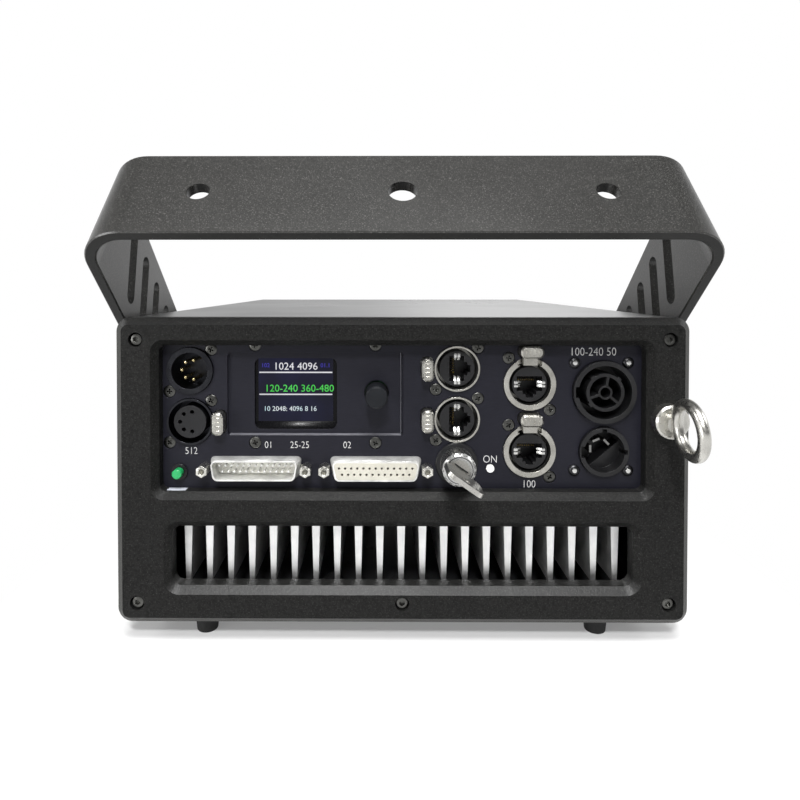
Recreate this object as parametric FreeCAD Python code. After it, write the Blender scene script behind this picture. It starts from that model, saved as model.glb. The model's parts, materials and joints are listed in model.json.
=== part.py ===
import FreeCAD, Part
import math
import os

# Laser show projector in millimetres.
# X runs to the right of the connector side, Y from that side to the beam window, Z up from the floor.
# While the pieces are made, Y is 0 on the outer face of the rear bezel.
Vec = FreeCAD.Vector
TINY = 1e-4

# Rails and windows of the rear bezel
FLOOR_GAP = 9.5
LOW_RAIL = 16.8
AIR_WIN_H = 27.2
MID_RAIL = 15.4
TOP_RAIL = 12.8
SIDE_RAIL = 18.9
PANEL_WIN_TOP_GAP = 0.4
PANEL_WIN_R = 3.0
PANEL_WIN_FLARE = 2.7
PANEL_WIN_FLARE_L = 4.0
AIR_WIN_INSET = 5.9
AIR_WIN_R = 4.0
AIR_WIN_FLARE = 3.0
AIR_WIN_FLARE_L = 3.0
BEZEL_T = 9.0
BEZEL_CORNER_R = 6.5
BEZEL_CHAMFER = 3.2

# Housing behind the bezel
FRONT_T = 9.0
FRONT_CHAMFER = 1.5
COVER_STEP = 3.7
COVER_T = 2.2
COVER_CORNER_R = 4.0
BOTTOM_T = 2.5
SMALL_R = 1.0

# Clearances: fixed pieces, fitted shells, running shafts, moving pieces
SLIDE_GAP = 0.1
SHELL_GAP = 0.15
RUN_GAP = 0.05
MOVE_GAP = 0.3

# Screws that close the housing
END_SCREW_INSET = 9.7
END_SCREW_LOW = 9.8
END_SCREW_TOP = 9.9
END_SCREW_L = 20.0
CAP_HEAD_R = 2.65
CAP_HEAD_H = 2.8
CAP_BORE_GAP = 0.55
CAP_SINK = 1.0
SCREW_R = 1.45
SCREW_GAP = 0.15
CHANNEL_WALL = 2.4
EDGE_SCREW_L = 10.0
EDGE_SCREW_INSET = 52.0
EDGE_HEAD_H = 1.8
BOTTOM_HEAD_H = 1.5
BOTTOM_SCREW_IN = 1.5

# Heat sink
SINK_BASE_T = 8.0
SINK_LIFT = 3.2
FIN_COUNT = 21
FIN_PITCH = 10.0
FIN_ROOT_T = 4.0
FIN_TIP_T = 2.3
FIN_FAN_GAP = 2.0
FIN_SETBACK = 3.5

# Feet
FOOT_R = 5.9
FOOT_TIP_R = 4.8
FOOT_EDGE = 0.6
FOOT_X = 91.8
FOOT_INSET = 6.0
FOOT_STEM_R = 2.0

# Yoke, its pivot and its clamp knobs
PIVOT_Y = 134.1
PIVOT_LIFT = 16.2
PIVOT_GAP = 7.5
YOKE_TILT = 48.2
YOKE_REACH = 185.0
YOKE_W = 52.0
YOKE_T = 5.0
YOKE_BEND_R = 20.0
YOKE_EDGE = 0.6
YOKE_HOLE_R = 6.5
YOKE_SIDE_HOLE_R = 5.25
YOKE_SIDE_HOLE_X = 90.0
SLOT_COUNT = 5
SLOT_W = 8.6
SLOT_L = 38.0
SLOT_TURN = 31.5
SLOT_FIRST = 47.8
SLOT_PITCH = 20.0
BOSS_R = 15.0
BOSS_SPIGOT_R = 8.0
BOSS_SPIGOT_L = 10.0
WASHER_T = 1.2
STUD_R = 4.0
STUD_GAP = 0.25
STUD_L = 16.0
KNOB_R = 18.0
KNOB_GRIP = 15.0
KNOB_HUB_R = 10.0
KNOB_HUB_L = 7.0
KNOB_SCALLOP_COUNT = 6
KNOB_SCALLOP_R = 6.0
KNOB_SCALLOP_OUT = 4.0
KNOB_EDGE = 2.0

# Safety eye on the right rail
EYE_INSET = 10.9
EYE_RISE = 93.2
EYE_COLLAR_R = 7.5
EYE_COLLAR_H = 5.6
EYE_COLLAR_EDGE = 0.8
EYE_NECK_R = 4.2
EYE_CENTRE = 20.0
EYE_RING_R = 10.8
EYE_WIRE_R = 2.5
EYE_TURN = 6.0
EYE_STUD_R = 4.0
EYE_STUD_L = 7.5

# Connector panel and what is common to its sockets
PANEL_T = 3.0
PANEL_LAP = 3.5
SHELL_PROUD = 1.2
SHELL_L = 24.0
SHELL_CAVITY = 14.0
FLANGE_T = 2.0
FLANGE_RIM = 1.0
EAR_R = 3.2
EAR_OUT = 9.7
EAR_TURN = 45.0
PAN_HEAD_R = 2.75
PAN_HEAD_H = 0.9
PAN_SINK = 0.1
PAN_SCREW_R = 1.3
PAN_SCREW_L = 8.0

# Latch tabs
LATCH_W = 10.4
LATCH_H = 5.5
LATCH_R = 2.4
LATCH_EDGE = 0.8
LATCH_PROUD = 6.5
LATCH_LIP = 0.9
LATCH_LIP_T = 1.0
LATCH_TRAVEL = 1.5
LEFT_TURN = 180.0
TOP_TURN = 90.0
NECK_W = 6.4
NECK_LAP = 0.8
NECK_PROUD = 1.0
NECK_SINK = 1.0
NOTCH_W = 11.0

# Signal plug and socket, in the low row
DSUB_ROW_UP = 9.5
DSUB_PITCH = 2.77
DSUB_ROW = 2.84
DSUB_LONG_ROW_COUNT = 13
DSUB_END = 3.48
DSUB_EDGE = 3.18
DSUB_SLANT = 10.0
DSUB_R = 2.4
DSUB_WALL = 0.7
DSUB_PROUD = 6.0
DSUB_FLANGE_EDGE = 1.6
DSUB_FLANGE_T = 1.0
DSUB_GAP = 0.2
DSUB_BACK_L = 9.0
DSUB_PIN_R = 0.5
DSUB_PIN_L = 5.0
DSUB_HOLE_R = 0.55
DSUB_HOLE_L = 4.0
DSUB_SOCKET_LIFT = 0.3
DSUB_BUTTON_GAP = 5.25
DSUB_STEP_GAP = 2.5
POST_STEP = 3.4
POST_EDGE = 3.0
POST_AF = 4.8
POST_START_TURN = 30.0
POST_PROUD = 7.0
POST_SHANK_R = 1.5
POST_SHANK_L = 7.0
POST_BORE_R = 1.3
POST_BORE_L = 5.0

# Round control plug and socket, at the left edge
XLR_EDGE_GAP = 1.95
XLR_ROW_GAP = 4.35
XLR_STACK_GAP = 2.2
XLR_WALL = 0.95
XLR_SOCKET_BORE_R = 9.8
XLR_PLUG_BORE_R = 8.4
XLR_INSERT_GAP = 2.3
XLR_INSERT_SINK = 0.6
XLR_PIN_R = 0.9
XLR_PIN_CIRCLE_R = 4.6
XLR_PIN_L = 10.5
XLR_HOLE_R = 0.95
XLR_HOLE_L = 9.0
XLR_CONTACT_COUNT = 5
XLR_CONTACT_TURN = 51.0

# Push button at the lower left
BUTTON_EDGE_GAP = 3.85
BUTTON_UP = 7.5
BUTTON_R = 2.2
BUTTON_PROUD = 4.8
BUTTON_TRAVEL = 1.5
BUTTON_STOP = 0.7
BUTTON_STOP_T = 1.0
BUSH_WALL = 0.5
BUSH_COLLAR = 0.35
BUSH_PROUD = 1.0
BUSH_BACK_L = 10.0
BUSH_FLOOR = 2.0

# Display and rotary encoder
DISPLAY_GAP = 0.75
DISPLAY_ROW_GAP = 8.8
DISPLAY_W = 81.3
DISPLAY_H = 38.3
DISPLAY_TOP_GAP = 2.5
DISPLAY_R = 1.5
DISPLAY_SINK = 1.5
SCREEN_INSET = 12.3
SCREEN_RISE = 2.6
SCREEN_W = 38.3
SCREEN_H = 33.0
SCREEN_R = 3.0
LCD_MARGIN = 3.0
LCD_T = 3.0
BOARD_T = 1.6
BOARD_MARGIN = 5.0
BOARD_EDGE = 3.5
BOARD_SCREW_INSET = 12.8
BOARD_SCREW_OUT = 3.5
STANDOFF_R = 2.6
DIAL_INSET = 12.3
DIAL_RISE = 19.6
DIAL_R = 5.0
DIAL_GAP = 0.7
DIAL_PROUD = 12.0
DIAL_SHAFT_R = 2.7
DIAL_TRAVEL = 0.8
DIAL_EDGE = 0.6
ENCODER_HALF_W = 6.5
ENCODER_L = 6.0
ENCODER_FLOOR = 1.5
PLUNGER_R = 4.0
PLUNGER_T = 1.5
PLUNGER_PIN_R = 1.5

# Key switch and lamp
KEY_GAP = 1.4
KEY_UP = 11.6
BARREL_R = 4.6
BARREL_FLOOR = 2.0
LOCK_WALL = 0.9
LOCK_HEAD = 2.05
LOCK_COLLAR = 1.95
LOCK_NUT = 2.0
LOCK_PROUD = 11.5
LOCK_EDGE = 1.0
LOCK_NOTCH_COUNT = 16
LOCK_NOTCH_R = 0.8
LOCK_NOTCH_L = 1.6
LOCK_COLLAR_H = 1.0
LOCK_BACK_L = 14.0
LOCK_NUT_T = 2.5
KEY_T = 2.0
KEY_BLADE_W = 6.0
KEY_BLADE_L = 12.0
KEY_NECK_L = 4.0
KEY_BOW_W = 18.0
KEY_BOW_L = 17.0
KEY_BOW_R = 4.0
KEY_EYE_R = 2.2
KEY_TURN = 35.0
KEY_SLOT_GAP = 0.1
LAMP_GAP = 3.4
LAMP_UP = 9.3
LAMP_R = 1.85
LAMP_PROUD = 0.5
LAMP_L = 8.0
LAMP_RIM = 0.75
LAMP_RIM_T = 1.0

# Network sockets: two with the latch at the side, two with the latch on top
JACK_W = 11.7
JACK_H = 6.8
JACK_KEY_W = 6.2
JACK_KEY_H = 1.6
JACK_TIP_W = 3.4
JACK_TIP_H = 1.4
JACK_DROP = 1.3
JACK_DEPTH = 11.0
JACK_WALL = 0.47
NET_PLUG_GAP = 1.55
NET_INSERT_SINK = 1.0
SIDE_NET_WALL = 0.85
SIDE_NET_GAP = 8.25
SIDE_NET_ROW_GAP = 0.4
SIDE_NET_STACK_GAP = 0.5
TOP_NET_WALL = 2.35
TOP_NET_GAP = 2.6
TOP_NET_EDGE = 2.0
TOP_NET_STACK_GAP = 0.5
TOP_FLANGE_OUT = 0.8
TOP_FLANGE_UP = 3.3
TOP_FLANGE_R = 3.0
TOP_EAR_INSET = 3.3

# Mains outlet and inlet
POWER_GAP = 4.2
POWER_EDGE = 2.5
POWER_OFFSET = 1.1
POWER_RING_GAP = 1.9
POWER_CAVITY = 15.0
POWER_BACK_L = 26.0
POWER_FLANGE_OUT = 3.7
POWER_FLANGE_R = 3.0
POWER_SCREW_HALF_W = 12.3
OUTLET_TUBE_R = 3.2
OUTLET_TUBE_T = 0.9
OUTLET_RING_GAP = 4.0
OUTLET_RING_T = 1.5
OUTLET_BORE_GAP = 3.5
OUTLET_WALL = 2.2
OUTLET_SPOKE_COUNT = 3
OUTLET_SPOKE_T = 1.2
OUTLET_SPOKE_TURN = 80.0
OUTLET_PROUD = 2.6
OUTLET_LUG_TURNS = (45.0, 130.0, 220.0)
OUTLET_LUG_W = 2.0
OUTLET_LUG_OUT = 0.7
OUTLET_SCREW_RISE = 13.4
INLET_EDGE = 6.0
INLET_BORE_R = 9.3
INLET_WALL = 2.0
INLET_PROUD = 2.0
INLET_SHELF_TURN = -40.0
INLET_SHELF_DROP = 3.0
INLET_SHELF_L = 8.0
INLET_SCREW_DROP = 8.8
KEYWAY_W = 5.0
KEYWAY_NARROW_W = 2.2
KEYWAY_OUT = 1.3
KEYWAY_L = 7.0
DOME_R = 2.6
DOME_H = 1.3
BLADE_W = 3.4
BLADE_T = 1.0
BLADE_L = 8.5
BLADE_OUT = 4.4
BLADE_COUNT = 3
BLADE_FIRST_TURN = 45.0
BLADE_STEP_TURN = 67.5

# Beam window and its sliding mask
BEAM_RISE = 89.2
POCKET_HALF_W = 62.0
POCKET_R = 6.0
POCKET_DEPTH = 5.0
POCKET_MASK_GAP = 1.0
APERTURE_HALF_W = 34.0
APERTURE_HALF_H = 15.0
APERTURE_R = 3.0
GLASS_T = 3.0
GLASS_LAP = 4.0
MASK_T = 2.0
MASK_SIDE_GAP = 7.0
MASK_R = 3.0
MASK_COVERS = 2.0
MASK_TRAVEL = 10.0
MASK_SLOT_EDGE = 2.35
MASK_SLOT_INSET = 11.0
MASK_SLOT_GAP = 0.4
THUMB_R = 5.0
THUMB_H = 3.0
THUMB_GROOVE_COUNT = 12
THUMB_GROOVE_R = 0.7
THUMB_STEM_R = 2.0

# Fans under the heat sink
FAN_SIZE = 60.0
FAN_T = 10.0
FAN_X = 45.0
FAN_CORNER_R = 3.0
FAN_WALL = 1.5
FAN_HUB_R = 12.0
FAN_HUB_T = 2.0
FAN_SPOKE_COUNT = 4
FAN_SPOKE_T = 2.5
FAN_SPOKE_TURN = 45.0
FAN_BLADE_COUNT = 7
FAN_BLADE_T = 1.2
FAN_BLADE_TURN = 38.0
FAN_TIP_GAP = 1.0
FAN_PIN_R = 1.5
VENT_RING_COUNT = 3
VENT_BAR = 2.4

# Optics and electronics on the heat sink
CLEAR_GAP = 0.4
REAR_ROOM = 42.0
LASER_ROOM = 19.0
LASER_COUNT = 3
LASER_W = 30.0
LASER_L = 80.0
LASER_H = 34.0
LASER_GAP = 4.0
LASER_EDGE = 2.0
LASER_PORT_R = 3.0
LASER_PORT_L = 4.0
BEAM_LIFT = 21.0
MIRROR_ROOM = 20.0
MIRROR_W = 18.0
MIRROR_T = 3.0
MIRROR_H = 32.0
MOUNT_BASE = 22.0
MOUNT_BASE_T = 4.0
FOLD_TURN = 45.0
GALVO_ROOM = 17.3
GALVO_R = 8.0
GALVO_L = 28.0
GALVO_STEP = 13.0
GALVO_STANDOFF = 9.0
GALVO_WALL = 4.0
GALVO_GRIP = 16.0
SCAN_SHAFT_R = 1.5
SCAN_SHAFT_SEAT = 10.0
SCAN_MIRROR_T = 1.2
SCAN_X_W = 8.0
SCAN_Y_W = 15.0
SCAN_MIRROR_H = 8.0
BEAM_ROOM = 50.0
SUPPLY_ROOM = 44.0
SUPPLY_W = 62.0
SUPPLY_L = 120.0
SUPPLY_H = 38.0
SUPPLY_R = 2.0
DRIVER_GAP = 23.0
DRIVER_L = 90.0
DRIVER_ROOM = 19.0
CONTROL_EDGE = 6.0
CONTROL_GAP = 15.0
CONTROL_L = 85.0
PCB_LIFT = 8.0
PCB_STANDOFF_R = 3.0
PCB_INSET = 6.0
CHIP_W = 14.0
CHIP_L = 28.0
CHIP_H = 6.0
CHIP_COUNT = 3

# Radii that build on one another
CAP_BORE_R = CAP_HEAD_R + CAP_BORE_GAP
XLR_R = XLR_SOCKET_BORE_R + XLR_WALL
XLR_INSERT_R = XLR_SOCKET_BORE_R - XLR_INSERT_GAP
BUTTON_STOP_R = BUTTON_R + BUTTON_STOP
BUSH_STEM_R = BUTTON_STOP_R + BUSH_WALL
BUSH_R = BUSH_STEM_R + BUSH_COLLAR
LOCK_THREAD_R = BARREL_R + LOCK_WALL
LOCK_R = LOCK_THREAD_R + LOCK_HEAD
LOCK_COLLAR_R = LOCK_R + LOCK_COLLAR
LOCK_NUT_R = LOCK_THREAD_R + LOCK_NUT
LAMP_RIM_R = LAMP_R + LAMP_RIM
DIAL_HOLE_R = DIAL_R + DIAL_GAP
JACK_TOP = (JACK_H + JACK_KEY_H + JACK_TIP_H) / 2
NET_INSERT_R = math.hypot(JACK_W / 2, JACK_TOP) + JACK_WALL
NET_BORE_R = NET_INSERT_R + NET_PLUG_GAP
SIDE_NET_R = NET_BORE_R + SIDE_NET_WALL
TOP_NET_R = NET_BORE_R + TOP_NET_WALL
FLANGE_R = SIDE_NET_R + FLANGE_RIM
LATCH_START = max(XLR_R, SIDE_NET_R) + MOVE_GAP
TOP_LATCH_START = TOP_NET_R + MOVE_GAP + SLIDE_GAP
TOP_FLANGE_HALF_W = TOP_NET_R + TOP_FLANGE_OUT
TOP_FLANGE_HALF_H = TOP_NET_R + TOP_FLANGE_UP
TOP_EAR_X = TOP_FLANGE_HALF_W - TOP_EAR_INSET
TOP_EAR_Z = TOP_FLANGE_HALF_H - TOP_EAR_INSET
OUTLET_RING_R = OUTLET_TUBE_R + OUTLET_RING_GAP + OUTLET_RING_T
OUTLET_BORE_R = OUTLET_RING_R + OUTLET_BORE_GAP
OUTLET_R = OUTLET_BORE_R + OUTLET_WALL
INLET_R = INLET_BORE_R + INLET_WALL
FAN_BORE_R = FAN_SIZE / 2 - FAN_WALL
DSUB_W = DSUB_PITCH * (DSUB_LONG_ROW_COUNT - 1) + 2 * DSUB_END
DSUB_H = DSUB_ROW + 2 * DSUB_EDGE
DSUB_POST_SPAN = DSUB_W + 2 * POST_STEP
DSUB_FLANGE_W = DSUB_POST_SPAN + 2 * POST_EDGE
DSUB_FLANGE_H = DSUB_H + 2 * DSUB_FLANGE_EDGE

# Places across the panel, counted from the left edge of its window
LATCH_END = LATCH_START + LATCH_H
XLR_AT = XLR_EDGE_GAP + XLR_R
DISPLAY_AT = XLR_AT + LATCH_END + DISPLAY_GAP
SIDE_NET_AT = DISPLAY_AT + DISPLAY_W + SIDE_NET_GAP + LATCH_END
BUTTON_AT = BUTTON_EDGE_GAP + BUSH_R
DSUB_PLUG_AT = BUTTON_AT + BUSH_R + DSUB_BUTTON_GAP + DSUB_FLANGE_W / 2
DSUB_SOCKET_AT = DSUB_PLUG_AT + DSUB_FLANGE_W + DSUB_STEP_GAP
KEY_AT = DSUB_SOCKET_AT + DSUB_FLANGE_W / 2 + KEY_GAP + LOCK_COLLAR_R
LAMP_AT = KEY_AT + LOCK_COLLAR_R + LAMP_GAP + LAMP_RIM_R
NET_LEFT = max(SIDE_NET_AT + EAR_OUT + EAR_R, LAMP_AT + LAMP_RIM_R) + TOP_NET_GAP
TOP_NET_AT = NET_LEFT + TOP_FLANGE_HALF_W
POWER_FLANGE_HALF_W = POWER_SCREW_HALF_W + POWER_FLANGE_OUT
POWER_AT = TOP_NET_AT + TOP_FLANGE_HALF_W + POWER_GAP + POWER_FLANGE_HALF_W
PANEL_WIN_HALF_W = (POWER_AT + POWER_FLANGE_HALF_W + POWER_EDGE) / 2
XLR_X = XLR_AT - PANEL_WIN_HALF_W
DISPLAY_LEFT = DISPLAY_AT - PANEL_WIN_HALF_W
DISPLAY_RIGHT = DISPLAY_LEFT + DISPLAY_W
SCREEN_LEFT = DISPLAY_LEFT + SCREEN_INSET
SCREEN_RIGHT = SCREEN_LEFT + SCREEN_W
DIAL_X = DISPLAY_RIGHT - DIAL_INSET
SIDE_NET_X = SIDE_NET_AT - PANEL_WIN_HALF_W
TOP_NET_X = TOP_NET_AT - PANEL_WIN_HALF_W
BUTTON_X = BUTTON_AT - PANEL_WIN_HALF_W
DSUB_PLUG_X = DSUB_PLUG_AT - PANEL_WIN_HALF_W
DSUB_SOCKET_X = DSUB_SOCKET_AT - PANEL_WIN_HALF_W
KEY_X = KEY_AT - PANEL_WIN_HALF_W
LAMP_X = LAMP_AT - PANEL_WIN_HALF_W
POWER_SCREW_X = POWER_AT - PANEL_WIN_HALF_W
POWER_X = POWER_SCREW_X + POWER_OFFSET

# Heights on the panel, counted from the lower edge of its window
DSUB_TOP_UP = DSUB_ROW_UP + DSUB_FLANGE_H / 2
XLR_SOCKET_UP = DSUB_TOP_UP + XLR_ROW_GAP + XLR_R
XLR_PLUG_UP = XLR_SOCKET_UP + 2 * XLR_R + XLR_STACK_GAP
DISPLAY_LOW_UP = DSUB_TOP_UP + DISPLAY_ROW_GAP
DISPLAY_HIGH_UP = DISPLAY_LOW_UP + DISPLAY_H
SIDE_NET_LOW_UP = KEY_UP + LOCK_COLLAR_R + SIDE_NET_ROW_GAP + SIDE_NET_R
SIDE_NET_HIGH_UP = SIDE_NET_LOW_UP + 2 * FLANGE_R + SIDE_NET_STACK_GAP
TOP_NET_LOW_UP = TOP_NET_EDGE + TOP_FLANGE_HALF_H
TOP_NET_HIGH_UP = TOP_NET_LOW_UP + 2 * TOP_FLANGE_HALF_H + TOP_NET_STACK_GAP
INLET_UP = INLET_EDGE + INLET_R
OUTLET_UP = INLET_UP + INLET_R + POWER_RING_GAP + OUTLET_R
CONTENTS_UP = max(XLR_PLUG_UP + XLR_R, SIDE_NET_HIGH_UP + SIDE_NET_R, DISPLAY_HIGH_UP + DISPLAY_TOP_GAP,
                  TOP_NET_HIGH_UP + TOP_LATCH_START + LATCH_H, OUTLET_UP + OUTLET_R)
PANEL_WIN_H = CONTENTS_UP + PANEL_WIN_TOP_GAP

# Heights of the housing
AIR_WIN_LOW = FLOOR_GAP + LOW_RAIL
AIR_WIN_HIGH = AIR_WIN_LOW + AIR_WIN_H
PANEL_LOW = AIR_WIN_HIGH + MID_RAIL
PANEL_HIGH = PANEL_LOW + PANEL_WIN_H
TOP_Z = PANEL_HIGH + TOP_RAIL
BOTTOM_TOP = FLOOR_GAP + BOTTOM_T
SINK_LOW = AIR_WIN_HIGH + SINK_LIFT
SINK_TOP = SINK_LOW + SINK_BASE_T
SINK_MID = (SINK_LOW + SINK_TOP) / 2
FIN_LOW = BOTTOM_TOP + FAN_T + FIN_FAN_GAP
PIVOT_Z = SINK_TOP + PIVOT_LIFT
EYE_Z = FLOOR_GAP + EYE_RISE
SCREW_LOW = FLOOR_GAP + END_SCREW_LOW
SCREW_HIGH = TOP_Z - END_SCREW_TOP

# Widths of the housing
BEZEL_HALF_W = PANEL_WIN_HALF_W + SIDE_RAIL
AIR_WIN_HALF_W = PANEL_WIN_HALF_W - AIR_WIN_INSET
COVER_HALF_W = BEZEL_HALF_W - COVER_STEP
INNER_HALF_W = COVER_HALF_W - COVER_T
CLEAR_HALF_W = COVER_HALF_W - BOSS_SPIGOT_L - CLEAR_GAP
YOKE_INNER = COVER_HALF_W + PIVOT_GAP
YOKE_OUTER = YOKE_INNER + YOKE_T
EYE_X = BEZEL_HALF_W - EYE_INSET
SCREW_X = BEZEL_HALF_W - END_SCREW_INSET
SCREW_HOLE_R = SCREW_R + SCREW_GAP
BOTTOM_SCREW_X = SCREW_X - BOTTOM_SCREW_IN
CHANNEL_R = SCREW_HOLE_R + CHANNEL_WALL

# Depths, from the bezel to the front plate
REAR_Y = BEZEL_T
PANEL_Y = BEZEL_T
PANEL_BACK = PANEL_Y + PANEL_T
CONTROL_Y = PANEL_BACK + REAR_ROOM
LASER_Y = CONTROL_Y + CONTROL_L + LASER_ROOM
BEAM_LINE_Y = LASER_Y + LASER_L + MIRROR_ROOM
SUPPLY_Y = PANEL_BACK + SUPPLY_ROOM
DRIVER_Y = SUPPLY_Y + SUPPLY_L + DRIVER_GAP
FRONT_Y = max(BEAM_LINE_Y + BEAM_ROOM, DRIVER_Y + DRIVER_L + DRIVER_ROOM)
BODY_DEPTH = FRONT_Y + FRONT_T
EYE_REACH = EYE_CENTRE + EYE_RING_R + EYE_WIRE_R
SHIFT_Y = (EYE_REACH - BODY_DEPTH) / 2
FOOT_YS = [REAR_Y + FOOT_INSET, FRONT_Y - FOOT_INSET]
EDGE_SCREW_YS = [EDGE_SCREW_INSET, BODY_DEPTH - EDGE_SCREW_INSET]
SHELL_FRONT = PANEL_Y - SHELL_PROUD
SHELL_BACK = PANEL_BACK + SHELL_L
CAVITY_END = SHELL_FRONT + SHELL_CAVITY
DSUB_FRONT = PANEL_Y - DSUB_PROUD
LOCK_FRONT = PANEL_Y - LOCK_PROUD
DISPLAY_FLOOR = PANEL_Y + DISPLAY_SINK
BOARD_Y = PANEL_BACK + LCD_T

# Places on the panel
XLR_PLUG_Z = PANEL_LOW + XLR_PLUG_UP
XLR_SOCKET_Z = PANEL_LOW + XLR_SOCKET_UP
SIDE_NETS = [(SIDE_NET_X, PANEL_LOW + up) for up in (SIDE_NET_HIGH_UP, SIDE_NET_LOW_UP)]
TOP_NETS = [(TOP_NET_X, PANEL_LOW + up) for up in (TOP_NET_HIGH_UP, TOP_NET_LOW_UP)]
DSUB_Z = PANEL_LOW + DSUB_ROW_UP
DSUB_POSTS = [(x + side * DSUB_POST_SPAN / 2, DSUB_Z)
              for x in (DSUB_PLUG_X, DSUB_SOCKET_X) for side in (-1, 1)]
OUTLET_Z = PANEL_LOW + OUTLET_UP
INLET_Z = PANEL_LOW + INLET_UP
POWER_SCREWS = [(POWER_SCREW_X + side * POWER_SCREW_HALF_W, z)
                for side in (-1, 1) for z in (INLET_Z - INLET_SCREW_DROP, OUTLET_Z + OUTLET_SCREW_RISE)]
KEY_Z = PANEL_LOW + KEY_UP
LAMP_Z = PANEL_LOW + LAMP_UP
BUTTON_Z = PANEL_LOW + BUTTON_UP
DISPLAY_LOW = PANEL_LOW + DISPLAY_LOW_UP
DISPLAY_HIGH = PANEL_LOW + DISPLAY_HIGH_UP
SCREEN_LOW = DISPLAY_LOW + SCREEN_RISE
SCREEN_HIGH = SCREEN_LOW + SCREEN_H
DIAL_Z = DISPLAY_LOW + DIAL_RISE
BOARD_SCREWS = [(x, z) for x in (DISPLAY_LEFT + BOARD_SCREW_INSET, DISPLAY_RIGHT - BOARD_SCREW_INSET)
                for z in (DISPLAY_LOW - BOARD_SCREW_OUT, DISPLAY_HIGH + BOARD_SCREW_OUT)]
END_SCREWS = [(x, z) for x in (-SCREW_X, SCREW_X) for z in (SCREW_LOW, SCREW_HIGH)] + [(0.0, SCREW_LOW)]

# Places of the beam and of what stands on the heat sink
LASER_PITCH = LASER_W + LASER_GAP
LASER_XS = [-CLEAR_HALF_W + LASER_W / 2 + i * LASER_PITCH for i in range(LASER_COUNT)]
LASER_BEAM_Z = SINK_TOP + BEAM_LIFT
BEAM_X = LASER_XS[-1] + LASER_W / 2 + GALVO_ROOM
BEAM_Z = FLOOR_GAP + BEAM_RISE
SUPPLY_X = CLEAR_HALF_W - SUPPLY_W
CONTROL_X = CONTROL_EDGE - CLEAR_HALF_W
CONTROL_W = SUPPLY_X - CONTROL_GAP - CONTROL_X
POCKET_Y = BODY_DEPTH - POCKET_DEPTH
MASK_HIGH = BEAM_Z - APERTURE_HALF_H + MASK_COVERS
THUMB_Z = MASK_HIGH - MASK_SLOT_EDGE - MASK_SLOT_GAP - THUMB_STEM_R
MASK_LOW = THUMB_Z - MASK_TRAVEL - THUMB_STEM_R - MASK_SLOT_GAP - MASK_SLOT_EDGE
MASK_HALF_W = POCKET_HALF_W - MASK_SIDE_GAP
MASK_SLOT_X = MASK_HALF_W - MASK_SLOT_INSET
POCKET_HALF_H = BEAM_Z - MASK_LOW + POCKET_MASK_GAP
FANS = [(-FAN_X, BODY_DEPTH / 2), (FAN_X, BODY_DEPTH / 2)]


# Shared solids

def block(x0, x1, y0, y1, z0, z1):
    return Part.makeBox(x1 - x0, y1 - y0, z1 - z0, Vec(x0, y0, z0))


def rod_x(radius, y, z, x0, x1):
    return Part.makeCylinder(radius, x1 - x0, Vec(x0, y, z), Vec(1, 0, 0))


def rod_y(radius, x, z, y0, y1):
    return Part.makeCylinder(radius, y1 - y0, Vec(x, y0, z), Vec(0, 1, 0))


def rod_z(radius, x, y, z0, z1):
    return Part.makeCylinder(radius, z1 - z0, Vec(x, y, z0), Vec(0, 0, 1))


def fused(shapes):
    return shapes[0].multiFuse(shapes[1:]).removeSplitter()


def rounded_wire(corners, radius):
    """Closed wire through convex corners, each rounded to the radius."""
    edges = []
    arcs = []
    for i, corner in enumerate(corners):
        before = (corners[i - 1] - corner).normalize()
        after = (corners[(i + 1) % len(corners)] - corner).normalize()
        half = before.getAngle(after) / 2
        reach = radius / math.tan(half)
        inward = (before + after).normalize()
        middle = corner + inward * (radius / math.sin(half) - radius)
        arcs.append((corner + before * reach, middle, corner + after * reach))
    for i, (start, middle, end) in enumerate(arcs):
        edges.append(Part.Arc(start, middle, end).toShape())
        edges.append(Part.LineSegment(end, arcs[(i + 1) % len(arcs)][0]).toShape())
    return Part.Wire(edges)


def rectangle(x0, x1, z0, z1, radius, y):
    corners = [Vec(x0, y, z0), Vec(x1, y, z0), Vec(x1, y, z1), Vec(x0, y, z1)]
    return rounded_wire(corners, radius)


def slab(x0, x1, z0, z1, radius, y0, y1):
    """Rounded rectangle in XZ, extruded along Y."""
    return Part.Face(rectangle(x0, x1, z0, z1, radius, y0)).extrude(Vec(0, y1 - y0, 0))


def window(x0, x1, z0, z1, radius, flare, flare_l, face, back):
    """Cutter for an opening that flares out towards the face."""
    step = math.copysign(flare_l, back - face)
    mouth = rectangle(x0 - flare, x1 + flare, z0 - flare, z1 + flare, radius + flare, face)
    throat = rectangle(x0, x1, z0, z1, radius, face + step)
    through = slab(x0, x1, z0, z1, radius, face, back)
    return through.fuse(Part.makeLoft([mouth, throat], True, True))


def edges_at(shape, axis, value):
    """Edges that lie in the plane where the axis has the value."""
    found = []
    for edge in shape.Edges:
        low = getattr(edge.BoundBox, axis + "Min")
        high = getattr(edge.BoundBox, axis + "Max")
        if abs(low - value) < TINY and abs(high - value) < TINY:
            found.append(edge)
    return found


def lathe(profile, x, z):
    """Solid turned about a line along Y; the profile holds (radius, y) corners."""
    points = [Vec(x + radius, y, z) for radius, y in profile]
    face = Part.Face(Part.makePolygon(points + points[:1]))
    return face.revolve(Vec(x, 0, z), Vec(0, 1, 0), 360)


def ring(count, radius, start=0.0, step=None):
    """Offsets of points on a circle."""
    step = step or 360.0 / count
    angles = [math.radians(start + i * step) for i in range(count)]
    return [(radius * math.cos(a), radius * math.sin(a)) for a in angles]


# Housing

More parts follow.
